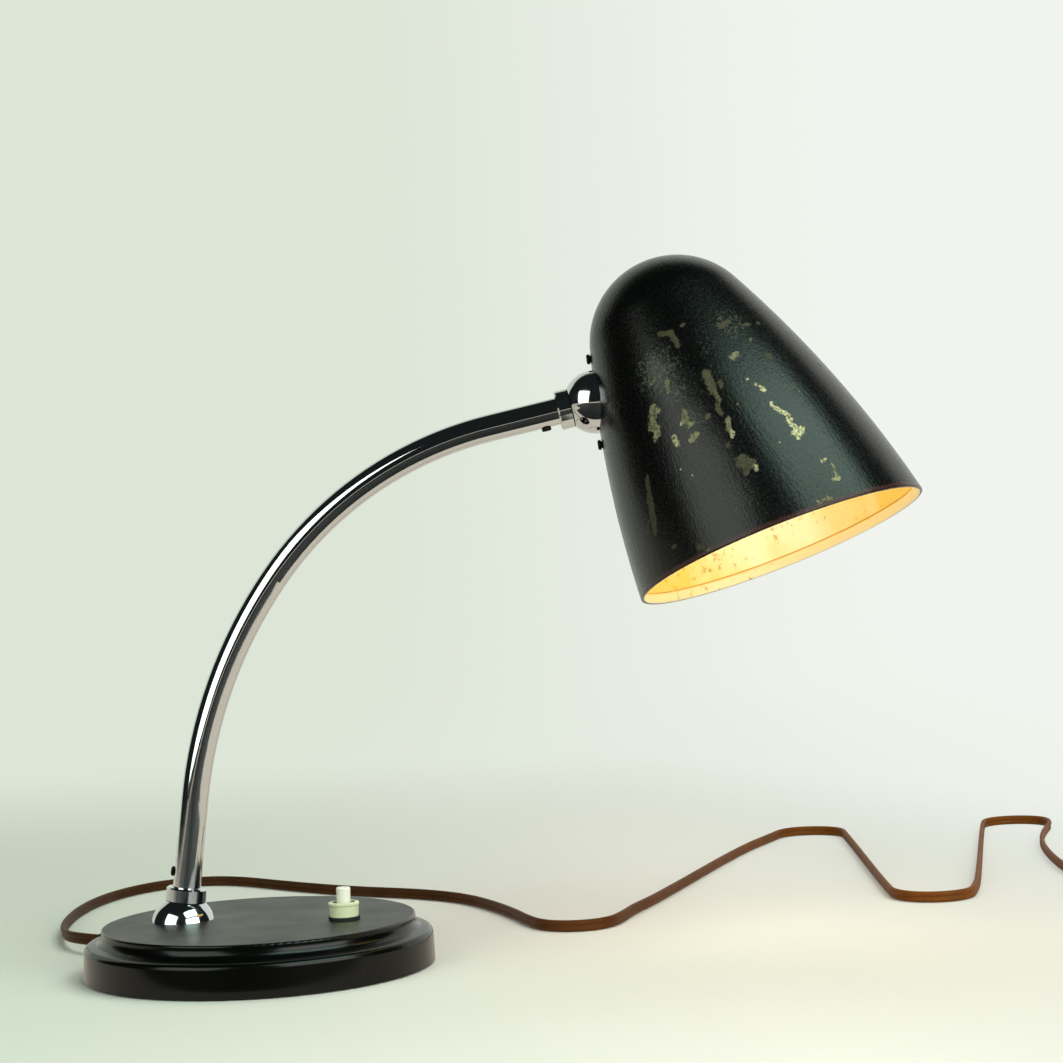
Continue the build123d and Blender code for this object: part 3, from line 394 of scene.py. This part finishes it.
# The bell's section, from the crown down the outside, round the lip and up the inside. The rows lie
# closer together near the crown; lip and hem are given as depth from the mouth and inset, in mm.
turns, outer_rows, inner_rows, lip_rows = 300, 130, 46, 3
lip_start, hem_end = 0.55, 4.9
first_row, crowding = 0.0005, 1.25
outer_gap, inner_gap = 0.02, 0.002
lip = [(-0.22, 0.10), (-0.04, 0.45), (0.0, 0.9), (-0.04, 1.35), (-0.25, 1.7), (-0.7, 1.8)]
hem = [(-1.4, 1.8), (-2.4, 1.8), (-3.4, 1.8), (-4.0, 1.75), (-4.3, 1.5), (-4.45, 1.1),
       (-hem_end, sheet)]
rows = []
for k in range(turns):
    turn = 2 * math.pi * k / turns
    end = mouth_at(turn)
    column = []
    for i in range(outer_rows):
        along = first_row + (1 - first_row) * (i / (outer_rows - 1)) ** crowding
        column.append(((end - lip_start) * along + outer_gap, outer_gap))
    column += [(end + d, inset) for d, inset in lip + hem]
    for i in range(1, inner_rows):
        along = (1 - i / (inner_rows - 1)) ** crowding
        column.append((sheet + (end - hem_end - sheet) * along + inner_gap, sheet))
    rows.append(column)
height = len(rows[0])
points, wear, bare, edge, scuff_and_sheen = [], [], [], [], []
for k, column in enumerate(rows):
    turn = 2 * math.pi * k / turns
    ray = outward * math.cos(turn) + across * math.sin(turn)
    for i, (depth, inset) in enumerate(column):
        radius = wall_radius(depth, inset)
        points.append((apex + down * depth + ray * radius) / mm_per_m)
        edge.append(mouth_at(turn) - depth)
        best, metal = 0.0, 0.0
        if i < outer_rows:
            for turn_a, depth_a, turn_b, depth_b, half, pale in chips:
                here = Vector((turned_from(turn_a, turn) * radius, depth - depth_a))
                if here.length > chip_far:
                    continue
                there = Vector((math.radians(turn_b - turn_a) * radius, depth_b - depth_a))
                along = min(max(here.dot(there) / max(there.dot(there), 1e-6), 0.0), 1.0)
                near = 1 - (here - there * along).length / (2 * half + chip_fade)
                if near > best:
                    best, metal = near, pale
        wear.append(best)
        bare.append(metal)
        # Scuffs, and on the front painted sheen along the bands of reflected light, kept as a point
        # value.
        scuff_sheen = 0.0
        for turn_a, depth_a, reach, force in scuffs_and_sheen:
            away = math.hypot(turned_from(turn_a, turn) * radius, depth - depth_a)
            scuff_sheen = max(scuff_sheen, force * max(0.0, 1 - (away / reach) ** 2))
        scuff_and_sheen.append(scuff_sheen)
faces, kinds = [], []
for k in range(turns):
    for i in range(height - 1):
        a, b = k * height + i, (k + 1) % turns * height + i
        faces.append((a, a + 1, b + 1, b))
        kinds.append(0 if i < outer_rows + lip_rows else 1)
# The crown is closed by a fan of faces outside and another inside.
crown = len(points)
points += [(apex + down * outer_gap) / mm_per_m, (apex + down * sheet) / mm_per_m]
for values, plain in ((wear, 0.0), (bare, 0.0), (scuff_and_sheen, 0.0), (edge, mouth_depth)):
    values += [plain, plain]
for k in range(turns):
    a, b = k * height, (k + 1) % turns * height
    faces += [(crown, a, b), (crown + 1, b + height - 1, a + height - 1)]
    kinds += [0, 1]
mesh = bpy.data.meshes.new("spun_bell")
mesh.from_pydata(points, [], faces)
mesh.shade_smooth()
mesh.polygons.foreach_set("material_index", kinds)
for name, values in (("chip", wear), ("bare", bare), ("from_lip", edge), ("scuff_and_sheen", scuff_and_sheen)):
    mesh.attributes.new(name, "FLOAT", "POINT").data.foreach_set("value", values)
bell = bpy.data.objects.new("spun_bell", mesh)
bpy.context.scene.collection.objects.link(bell)
# Old black lacquer on spun steel: satin black, with ragged chips that show olive-grey metal, pale
# flecks that are scuffs at the back and painted sheen along the bright bands on the front, and brown
# wear at the lip. Its grit and the spinning lines under it are a few tenths of a millimetre; both are
# drawn about 1 mm wide, as coarse as they need to show.
worn, tree, place = new_finish("chipped_black_lacquer_on_spun_steel")
chip = add(tree, "ShaderNodeAttribute", attribute_name="chip").outputs["Fac"]
metal = add(tree, "ShaderNodeAttribute", attribute_name="bare").outputs["Fac"]
from_lip = add(tree, "ShaderNodeAttribute", attribute_name="from_lip").outputs["Fac"]
scuff_and_sheen_at = add(tree, "ShaderNodeAttribute", attribute_name="scuff_and_sheen").outputs["Fac"]
ragged = add(tree, "ShaderNodeTexNoise", {
    "Vector": place, "Scale": mm_per_m / 1.5, "Detail": 6.0, "Roughness": 0.7})
torn = add(tree, "ShaderNodeMath", {0: ragged, 1: 1.5, 2: -0.75}, operation="MULTIPLY_ADD")
field = add(tree, "ShaderNodeMath", {0: chip, 1: torn}, operation="ADD")
hole = add(tree, "ShaderNodeMapRange", {"Value": field, "From Min": 0.55, "From Max": 0.60})
rim = add(tree, "ShaderNodeMapRange", {"Value": field, "From Min": 0.42, "From Max": 0.57})
patch = add(tree, "ShaderNodeTexNoise", {"Vector": place, "Scale": mm_per_m / 30, "Detail": 4.0})
fine = add(tree, "ShaderNodeTexNoise", {
    "Vector": place, "Scale": mm_per_m / 1.0, "Detail": 5.0, "Roughness": 0.7})
depth_at = add(tree, "ShaderNodeVectorMath", {
    0: place, 1: down}, operation="DOT_PRODUCT").outputs["Value"]
shrunk = add(tree, "ShaderNodeMath", {0: depth_at, 1: 0.85}, operation="MULTIPLY")
drawn = add(tree, "ShaderNodeVectorMath", {0: down, "Scale": shrunk}, operation="SCALE")
spun = add(tree, "ShaderNodeVectorMath", {0: place, 1: drawn}, operation="SUBTRACT")
streak = add(tree, "ShaderNodeTexNoise", {"Vector": spun, "Scale": mm_per_m / 1.1, "Detail": 2.0})
grit = add(tree, "ShaderNodeTexNoise", {"Vector": place, "Scale": mm_per_m / 1.0, "Detail": 2.0})
grain = add(tree, "ShaderNodeMath", {0: grit, 1: streak}, operation="ADD")
# Pale flecks: scuffs at the back, and painted sheen where the scuffed places on the front follow the
# bands of reflected light.
scuffed_and_sheen_level = add(tree, "ShaderNodeMath", {0: scuff_and_sheen_at, 1: 0.26, 2: fine}, operation="MULTIPLY_ADD")
fleck_and_sheen = add(tree, "ShaderNodeMapRange", {"Value": scuffed_and_sheen_level, "From Min": 0.68, "From Max": 0.80})
tone = add(tree, "ShaderNodeMix", {
    "Factor": patch, "A": linear("#020302"), "B": linear("#070806")}, data_type="RGBA")
dulled = add(tree, "ShaderNodeMix", {
    "Factor": fleck_and_sheen, "A": tone, "B": linear("#44483b")}, data_type="RGBA")
worn_lip = add(tree, "ShaderNodeMapRange", {"Value": from_lip, "From Min": 2.4, "From Max": 1.2})
lip_edge = add(tree, "ShaderNodeMapRange", {"Value": from_lip, "From Min": 0.35, "From Max": 0.75})
lip_band = add(tree, "ShaderNodeMath", {0: worn_lip, 1: lip_edge}, operation="MULTIPLY")
lip_wear = add(tree, "ShaderNodeMath", {0: lip_band, 1: ragged}, operation="MULTIPLY")
browned_lip = add(tree, "ShaderNodeMix", {
    "Factor": lip_wear, "A": dulled, "B": linear("#55302a")}, data_type="RGBA")
rusty = add(tree, "ShaderNodeMix", {
    "Factor": rim, "A": browned_lip, "B": linear("#1d140b")}, data_type="RGBA")
bright = add(tree, "ShaderNodeMath", {0: metal, 1: 3.0}, operation="POWER")
steel = add(tree, "ShaderNodeMix", {
    "Factor": bright, "A": linear("#3c3921"), "B": linear("#c4c295")}, data_type="RGBA")
mark = add(tree, "ShaderNodeMapRange", {"Value": fine, "From Min": 0.38, "From Max": 0.56})
stained = add(tree, "ShaderNodeMix", {
    "Factor": mark, "A": linear("#262213"), "B": steel}, data_type="RGBA")
colour = add(tree, "ShaderNodeMix", {"Factor": hole, "A": rusty, "B": stained}, data_type="RGBA")
scuff = add(tree, "ShaderNodeMapRange", {
    "Value": fine, "From Min": 0.3, "From Max": 0.7, "To Min": 0.15, "To Max": 0.36})
gloss = add(tree, "ShaderNodeMix", {"Factor": hole, "A": scuff, "B": 0.6})
skin = add(tree, "ShaderNodeMath", {0: grain, 1: hole}, operation="SUBTRACT")
relief = add(tree, "ShaderNodeBump", {"Height": skin, "Strength": 0.5, "Distance": 0.00015})
close_finish(tree, {"Base Color": colour, "Roughness": gloss, "IOR": 1.38, "Normal": relief})
mesh.materials.append(worn)
# Stoving enamel: cream, half gloss, yellowed in patches, with painted shade that makes it deeper
# yellow towards the two sides, rust spots 1 to 3 mm across in clusters, a paler hem, and a brown
# line of painted shade in the fold behind the hem.
enamel, tree, place = new_finish("stoved_cream_enamel")
from_lip = add(tree, "ShaderNodeAttribute", attribute_name="from_lip").outputs["Fac"]
cloud = add(tree, "ShaderNodeTexNoise", {"Vector": place, "Scale": mm_per_m / 40, "Detail": 5.0})
parts = add(tree, "ShaderNodeSeparateXYZ", {"Vector": place})
# Painted shade: deeper yellow towards the two sides, away from the middle of the shade at x = 0.24 m.
offset = add(tree, "ShaderNodeMath", {0: parts.outputs["X"], 1: 0.24}, operation="SUBTRACT")
aside = add(tree, "ShaderNodeMath", {0: offset}, operation="ABSOLUTE")
side_painted_shade = add(tree, "ShaderNodeMapRange", {
    "Value": aside, "From Min": 0.01, "From Max": 0.06, "To Max": 0.32})
aged_and_side_shaded = add(tree, "ShaderNodeMath", {0: cloud, 1: side_painted_shade}, operation="SUBTRACT")
age_and_side_shade = add(tree, "ShaderNodeMapRange", {"Value": aged_and_side_shaded, "From Min": 0.2, "From Max": 0.5})
spots = add(tree, "ShaderNodeTexNoise", {"Vector": place, "Scale": mm_per_m / 3.4, "Detail": 5.0})
cluster = add(tree, "ShaderNodeTexNoise", {
    "Vector": place, "W": 2.3, "Scale": mm_per_m / 28, "Detail": 2.0}, noise_dimensions="4D")
spot_level = add(tree, "ShaderNodeMath", {0: cluster, 1: 0.55, 2: spots}, operation="MULTIPLY_ADD")
spot = add(tree, "ShaderNodeMapRange", {
    "Value": spot_level, "From Min": 0.90, "From Max": 1.02, "To Max": 0.8})
tone = add(tree, "ShaderNodeMix", {
    "Factor": age_and_side_shade, "A": linear("#eccb68"), "B": linear("#fbf4d6")}, data_type="RGBA")
hemmed = add(tree, "ShaderNodeMapRange", {"Value": from_lip, "From Min": 4.5, "From Max": 4.2})
banded = add(tree, "ShaderNodeMix", {
    "Factor": hemmed, "A": tone, "B": linear("#efdcae")}, data_type="RGBA")
# A brown line of painted shade in the fold behind the hem, on top of the modelled step.
fold_in = add(tree, "ShaderNodeMapRange", {"Value": from_lip, "From Min": 4.25, "From Max": 4.5})
fold_out = add(tree, "ShaderNodeMapRange", {"Value": from_lip, "From Min": 5.2, "From Max": 4.9})
fold_shade_line = add(tree, "ShaderNodeMath", {0: fold_in, 1: fold_out}, operation="MULTIPLY")
fold_shaded = add(tree, "ShaderNodeMix", {
    "Factor": fold_shade_line, "A": banded, "B": linear("#c4944a")}, data_type="RGBA")
colour = add(tree, "ShaderNodeMix", {
    "Factor": spot, "A": fold_shaded, "B": linear("#a8861c")}, data_type="RGBA")
relief = add(tree, "ShaderNodeBump", {"Height": spots, "Strength": 0.15, "Distance": 0.0001})
close_finish(tree, {"Base Color": colour, "Roughness": 0.32, "IOR": 1.5, "Normal": relief})
mesh.materials.append(enamel)
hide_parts("shade_shell")
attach(bell, "shade")


# Lampholder and bracket: a bent steel strip screwed to the upper seat carries a moulded holder
# with a screwed brass sleeve and a sprung contact.
dress(zinc, "shade_bracket")
dress(phenolic, "lampholder")
dress(brass, "holder_nut", "holder_contact", "holder_shell", "bulb_cap")


# Bulb: a small frosted glass bulb, alight. Its own glow lights the inside of the shade.
# Etched glass over a lit filament: an even warm glow, broken only by the grain of the etching.
glow, tree, place = new_finish("etched_bulb_glass_alight")
frost = add(tree, "ShaderNodeTexNoise", {"Vector": place, "Scale": mm_per_m / 0.6, "Detail": 3.0})
warm = add(tree, "ShaderNodeMix", {
    "Factor": frost, "A": linear("#ffe3a6"), "B": linear("#ffeab8")}, data_type="RGBA")
relief = add(tree, "ShaderNodeBump", {"Height": frost, "Strength": 0.2, "Distance": 0.0001})
close_finish(tree, {"Base Color": linear("#f3ead6"), "Roughness": 0.5, "Emission Color": warm,
                    "Emission Strength": 4.6, "Normal": relief})
dress(glow, "bulb_glass")


# Leads inside the lamp: the cores of the twin lead, in thin plastic, from the inlet to the switch
# and on through the arm to the lampholder.
# Extruded soft PVC: brown, smooth, waxy.
dress(mottled("extruded_brown_pvc_core", "#2c1b10", "#412a19",
              metallic=0.0, rough=(0.4, 0.5), grain=3.0, depth=0.01),
      "base_leads", "arm_lead", "shade_lead")


# Cord gland: a tapered rubber sleeve pressed into the wall of the base behind the arm.
# It keeps the cord from bending sharply where it comes out.
dress(rubber, "cord_gland")


# Mains cord: flat twin lead, two cores side by side in brown PVC with a groove between them.
# It stands on its edge, loops behind the base and wanders off to the right.
gland_turn, gland_reach, gland_height = math.radians(146), 95, 6.6
gland_way = Vector((math.cos(gland_turn), math.sin(gland_turn), 0))
gland_tip = gland_way * gland_reach + Vector((0, 0, gland_height))
cord_rest, first_run = 2.75, 17.5
cord_route = [gland_tip, gland_tip + gland_way * first_run, Vector((-104, 92, 4.6))]
cord_route += [Vector((x, y, cord_rest)) for x, y in (
    (-112, 136), (-113, 184), (-106, 226), (-90, 257), (-68, 271), (-44, 266), (-14, 236), (22, 205),
    (60, 184), (84, 160), (99, 129), (109, 102), (115, 81), (121, 66), (131, 59), (143, 59),
    (153, 66), (159, 81), (165, 102), (177, 131), (233, 300), (257, 354), (264, 371), (276, 378),
    (290, 375), (299, 364), (299, 346), (290, 127), (291, 110), (300, 99), (314, 97), (326, 105),
    (331, 122), (337, 145), (381, 361), (386, 379), (398, 387), (412, 385), (421, 374), (420, 356),
    (412, 332), (403, 302), (395, 264), (390, 222), (387, 180), (388, 146), (392, 121))]
cord_route += [Vector((397, 106, 3.05)), Vector((400, 90, 5.5)), Vector((400, 72, 5.5))]
line = bpy.data.curves.new("cord_line", "CURVE")
line.dimensions = "3D"
spline = line.splines.new("NURBS")
spline.points.add(len(cord_route) - 1)
for point, stop in zip(spline.points, cord_route):
    point.co = (*(stop / mm_per_m), 1.0)
spline.order_u = 3
spline.use_endpoint_u = True
spline.resolution_u = 10
guide = bpy.data.objects.new("cord_line", line)
track = bpy.data.meshes.new_from_object(guide)
path = [v.co.copy() for v in track.vertices]
bpy.data.objects.remove(guide)
bpy.data.meshes.remove(track)
bpy.data.curves.remove(line)
# A quarter of the section, from the groove to the edge: half the thickness and half the height in mm.
quarter = [(0.72, 0.0), (0.82, 0.28), (1.12, 0.62), (1.28, 1.15), (1.26, 1.6), (1.05, 2.1),
           (0.62, 2.5), (0.0, 2.63)]
section = quarter + [(-x, y) for x, y in quarter[-2::-1]]
section += [(-x, -y) for x, y in quarter[1:]] + [(x, -y) for x, y in quarter[-2:0:-1]]
twist, twist_steps = math.radians(9), 13
points, faces = [], []
size = len(section)
for i, spot in enumerate(path):
    way = (path[min(i + 1, len(path) - 1)] - path[max(i - 1, 0)]).normalized()
    side = way.cross(Vector((0, 0, 1))).normalized()
    up = side.cross(way)
    lean = twist * math.sin(i / twist_steps)
    side, up = (side * math.cos(lean) + up * math.sin(lean),
                up * math.cos(lean) - side * math.sin(lean))
    points += [spot + side * (x / mm_per_m) + up * (y / mm_per_m) for x, y in section]
for i in range(len(path) - 1):
    for k in range(size):
        a, b = i * size + k, i * size + (k + 1) % size
        faces.append((a, b, b + size, a + size))
faces += [tuple(range(size))[::-1], tuple(range((len(path) - 1) * size, len(path) * size))]
mesh = bpy.data.meshes.new("twin_lead")
mesh.from_pydata(points, [], faces)
mesh.shade_smooth()
cord = bpy.data.objects.new("twin_lead", mesh)
bpy.context.scene.collection.objects.link(cord)
# Extruded PVC, old: chestnut brown, satin, bleached in patches 15 mm long, and redder and paler
# away from the base.
pvc, tree, place = new_finish("extruded_brown_pvc_twin_lead")
bleach = add(tree, "ShaderNodeTexNoise", {"Vector": place, "Scale": mm_per_m / 15, "Detail": 4.0})
grime = add(tree, "ShaderNodeTexNoise", {"Vector": place, "Scale": mm_per_m / 0.8, "Detail": 3.0})
parts = add(tree, "ShaderNodeSeparateXYZ", {"Vector": place})
away = add(tree, "ShaderNodeMapRange", {"Value": parts.outputs["X"], "From Min": 0.05, "From Max": 0.3})
near_tone = add(tree, "ShaderNodeMix", {
    "Factor": bleach, "A": linear("#2a1808"), "B": linear("#4c2d10")}, data_type="RGBA")
far_tone = add(tree, "ShaderNodeMix", {
    "Factor": bleach, "A": linear("#562c0a"), "B": linear("#824a16")}, data_type="RGBA")
tone = add(tree, "ShaderNodeMix", {"Factor": away, "A": near_tone, "B": far_tone}, data_type="RGBA")
gloss = add(tree, "ShaderNodeMapRange", {
    "Value": grime, "From Min": 0.3, "From Max": 0.7, "To Min": 0.46, "To Max": 0.58})
relief = add(tree, "ShaderNodeBump", {"Height": grime, "Strength": 0.1, "Distance": 0.0001})
close_finish(tree, {"Base Color": tone, "Roughness": gloss, "IOR": 1.4, "Specular IOR Level": 0.15,
                    "Normal": relief})
mesh.materials.append(pvc)
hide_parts("mains_cord")
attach(cord, "base")


# Plug: a moulded phenolic body on the cord's end with two round turned brass pins.
# It lies on the table.
dress(phenolic, "plug_body")
dress(brass, "plug_pins")


# Studio paper: one sheet of matt paper, laid as the floor and swept up behind the lamp.
# It is the plain pale ground that takes the lamp's shadow.
sweep_start, sweep_radius, sweep_top, sweep_steps = 1.9, 0.8, 3.6, 24
sweep_left, sweep_right = -4.0, 4.5
profile = [(-3.5, 0.0), (-1.0, 0.0), (0.5, 0.0), (sweep_start, 0.0)]
profile += [(sweep_start + sweep_radius * math.sin(t), sweep_radius * (1 - math.cos(t)))
            for t in (math.pi / 2 * k / sweep_steps for k in range(1, sweep_steps + 1))]
profile.append((sweep_start + sweep_radius, sweep_top))
points = [(x, y, z) for y, z in profile for x in (sweep_left, sweep_right)]
faces = [(2 * i, 2 * i + 1, 2 * i + 3, 2 * i + 2) for i in range(len(profile) - 1)]
mesh = bpy.data.meshes.new("paper_sweep")
mesh.from_pydata(points, [], faces)
mesh.shade_smooth()
paper = bpy.data.objects.new("paper_sweep", mesh)
bpy.context.scene.collection.objects.link(paper)
# Matt paper: off-white and warmer on the right, with painted shade that makes it darker and greener
# on the left, away from the lights, and a little greyer where the lamp's own light falls. Beyond the
# lamp it is lit from behind, so it stays pale for the eye and in the chrome; near the lamp the chrome
# sees it as an evenly warm glow, a painted reflection.
matt, tree, place = new_finish("matt_studio_paper")
parts = add(tree, "ShaderNodeSeparateXYZ", {"Vector": place})
# Painted shade: darker and greener on the left, and greyer under the lamp's own pool of light.
left_shade_fade = add(tree, "ShaderNodeMapRange", {
    "Value": parts.outputs["X"], "From Min": -0.15, "From Max": 0.22}, interpolation_type="SMOOTHSTEP")
lamp_pool_shade = add(tree, "ShaderNodeMapRange", {
    "Value": parts.outputs["X"], "From Min": 0.19, "From Max": 0.34}, interpolation_type="SMOOTHSTEP")
right_tone_with_pool_shade = add(tree, "ShaderNodeMix", {
    "Factor": lamp_pool_shade, "A": linear("#f1e9e2"), "B": linear("#e4dcd6")}, data_type="RGBA")
tone = add(tree, "ShaderNodeMix", {
    "Factor": left_shade_fade, "A": linear("#d9ded1"), "B": right_tone_with_pool_shade}, data_type="RGBA")
floor = add(tree, "ShaderNodeBsdfPrincipled", {
    "Base Color": tone, "Roughness": 0.9, "Specular IOR Level": 0.2})
across_back = add(tree, "ShaderNodeMapRange", {
    "Value": parts.outputs["X"], "From Min": -0.2, "From Max": 0.7}, interpolation_type="SMOOTHSTEP")
far_tone = add(tree, "ShaderNodeMix", {
    "Factor": across_back, "A": linear("#dde5d7"), "B": linear("#f1f4ee")}, data_type="RGBA")
lit = add(tree, "ShaderNodeEmission", {"Color": far_tone, "Strength": 1.0})
beyond = add(tree, "ShaderNodeMapRange", {
    "Value": parts.outputs["Y"], "From Min": 0.05, "From Max": 1.1}, interpolation_type="SMOOTHSTEP")
lamp_middle = Vector((0.1, 0.1, 0.0))
distance = add(tree, "ShaderNodeVectorMath", {
    0: place, 1: lamp_middle}, operation="DISTANCE").outputs["Value"]
outer = add(tree, "ShaderNodeMapRange", {
    "Value": distance, "From Min": 0.45, "From Max": 1.3}, interpolation_type="SMOOTHSTEP")
rightward = add(tree, "ShaderNodeMapRange", {
    "Value": parts.outputs["X"], "From Min": 0.2, "From Max": 0.6, "To Max": 0.8})
reach = add(tree, "ShaderNodeMath", {0: parts.outputs["Y"], 1: rightward}, operation="ADD")
seen_beyond = add(tree, "ShaderNodeMapRange", {
    "Value": reach, "From Min": 0.05, "From Max": 1.1}, interpolation_type="SMOOTHSTEP")
around = add(tree, "ShaderNodeMath", {0: seen_beyond, 1: outer}, operation="MAXIMUM")
ray = add(tree, "ShaderNodeLightPath")
to_eye = add(tree, "ShaderNodeMath", {0: ray.outputs["Is Camera Ray"], 1: around}, operation="MULTIPLY")
bounced = add(tree, "ShaderNodeMath", {
    0: ray.outputs["Is Glossy Ray"], 1: ray.outputs["Is Transmission Ray"]}, operation="MAXIMUM")
to_metal = add(tree, "ShaderNodeMath", {0: bounced, 1: beyond}, operation="MULTIPLY")
share = add(tree, "ShaderNodeMath", {0: to_eye, 1: to_metal}, operation="MAXIMUM")
# For glossy rays the floor near the lamp is three quarters this warm glow: a painted reflection.
warm = add(tree, "ShaderNodeEmission", {"Color": linear("#ded2c1"), "Strength": 1.0})
mirrored = add(tree, "ShaderNodeMath", {0: ray.outputs["Is Glossy Ray"], 1: 0.75}, operation="MULTIPLY")
near = add(tree, "ShaderNodeMixShader", {0: mirrored, 1: floor, 2: warm})
sheet_light = add(tree, "ShaderNodeMixShader", {0: share, 1: near, 2: lit})
add(tree, "ShaderNodeOutputMaterial", {"Surface": sheet_light})
mesh.materials.append(matt)

# Black cards: lie on the floor in front, out of the picture, so that the chrome has a dark band and
# the wall of the base stays black. They show in reflections only.
card_level = 0.003
card_corners = [(-1.3, -1.7, 0.28, -0.33), (-0.45, -0.33, 0.2, -0.08)]
points = [(x, y, card_level) for x0, y0, x1, y1 in card_corners
          for x, y in ((x0, y0), (x1, y0), (x1, y1), (x0, y1))]
mesh = bpy.data.meshes.new("black_cards")
mesh.from_pydata(points, [], [(0, 1, 2, 3), (4, 5, 6, 7)])
card = bpy.data.objects.new("black_cards", mesh)
bpy.context.scene.collection.objects.link(card)
card.visible_camera = card.visible_diffuse = card.visible_shadow = False
# Matt black card: near black and without gloss.
mesh.materials.append(mottled("matt_black_card", "#060606", "#0a0a0a",
                              metallic=0.0, rough=(0.8, 0.9), grain=3.0, depth=0.01))

# Lights: soft boxes of white cloth to the left and right of the camera, a third high above the right
# one with a green cast, and a large one overhead behind the lamp that no metal mirrors.
aim = Vector((0.1, 0.05, 0.12))
for name, spot, size, watts, tint, mirrored in (
        ("soft_box_right", (0.97, -0.92, 0.50), (1.30, 0.75), 12.0, "#fffdf8", True),
        ("soft_box_high", (0.82, -0.62, 1.25), (1.35, 0.62), 12.5, "#d8fdee", True),
        ("soft_box_left", (-0.80, -0.90, 0.60), (1.00, 1.00), 8.5, "#f0f8f0", True),
        ("soft_box_overhead", (0.5, 0.85, 2.1), (2.4, 1.8), 26.0, "#fffaf4", False)):
    lamp = bpy.data.lights.new(name, "AREA")
    lamp.shape, lamp.size, lamp.size_y = "RECTANGLE", *size
    lamp.energy, lamp.color = watts, linear(tint)[:3]
    box = bpy.data.objects.new(name, lamp)
    way = (aim - Vector(spot)).to_track_quat("-Z", "Y")
    box.location, box.rotation_euler = spot, way.to_euler()
    box.visible_glossy = mirrored
    bpy.context.scene.collection.objects.link(box)

# The room: dark before and above the lamp in its reflections, so that black stays black and the
# chrome has contrast, and a pale wall for the eye all round.
world = bpy.data.worlds.new("studio_room")
bpy.context.scene.world = world
world.use_nodes = True
tree = world.node_tree
tree.nodes.clear()
way = add(tree, "ShaderNodeTexCoord").outputs["Generated"]
parts = add(tree, "ShaderNodeSeparateXYZ", {"Vector": way})
back = add(tree, "ShaderNodeMapRange", {
    "Value": parts.outputs["Y"], "From Min": 0.4, "From Max": 0.95}, interpolation_type="SMOOTHSTEP")
air = add(tree, "ShaderNodeMix", {
    "Factor": back, "A": linear("#1d2122"), "B": linear("#dde4d8")}, data_type="RGBA")
side = add(tree, "ShaderNodeMapRange", {
    "Value": parts.outputs["X"], "From Min": -0.1, "From Max": 0.3}, interpolation_type="SMOOTHSTEP")
wall = add(tree, "ShaderNodeMix", {
    "Factor": side, "A": linear("#dde5d7"), "B": linear("#f1f4ee")}, data_type="RGBA")
eye = add(tree, "ShaderNodeLightPath").outputs["Is Camera Ray"]
room = add(tree, "ShaderNodeMix", {"Factor": eye, "A": air, "B": wall}, data_type="RGBA")
sky = add(tree, "ShaderNodeBackground", {"Color": room, "Strength": 1.0})
add(tree, "ShaderNodeOutputWorld", {"Surface": sky})

# Camera: a metre in front, level with the middle of the arm, tipped up a little and turned a little
# on its side. The focal length is given in pixels of the square picture.
roll, pitch = math.radians(2.53), math.radians(0.79)
focal_px, picture_px, sensor_mm = 2300, 1063, 36.0
stand = (0.1244, -0.9917, 0.1687)
ahead = Vector((0, math.cos(pitch), math.sin(pitch)))
above = Vector((0, -math.sin(pitch), math.cos(pitch)))
right = Vector((1, 0, 0))
view_up = above * math.cos(roll) + right * math.sin(roll)
view_right = right * math.cos(roll) - above * math.sin(roll)
lens = bpy.data.cameras.new("camera")
lens.sensor_fit, lens.sensor_width = "HORIZONTAL", sensor_mm
lens.lens = focal_px / picture_px * sensor_mm
camera = bpy.data.objects.new("camera", lens)
turn = Matrix((view_right, view_up, -ahead)).transposed().to_4x4()
camera.matrix_world = Matrix.Translation(stand) @ turn
bpy.context.scene.collection.objects.link(camera)
bpy.context.scene.camera = camera
bpy.context.scene.view_settings.view_transform = "Standard"
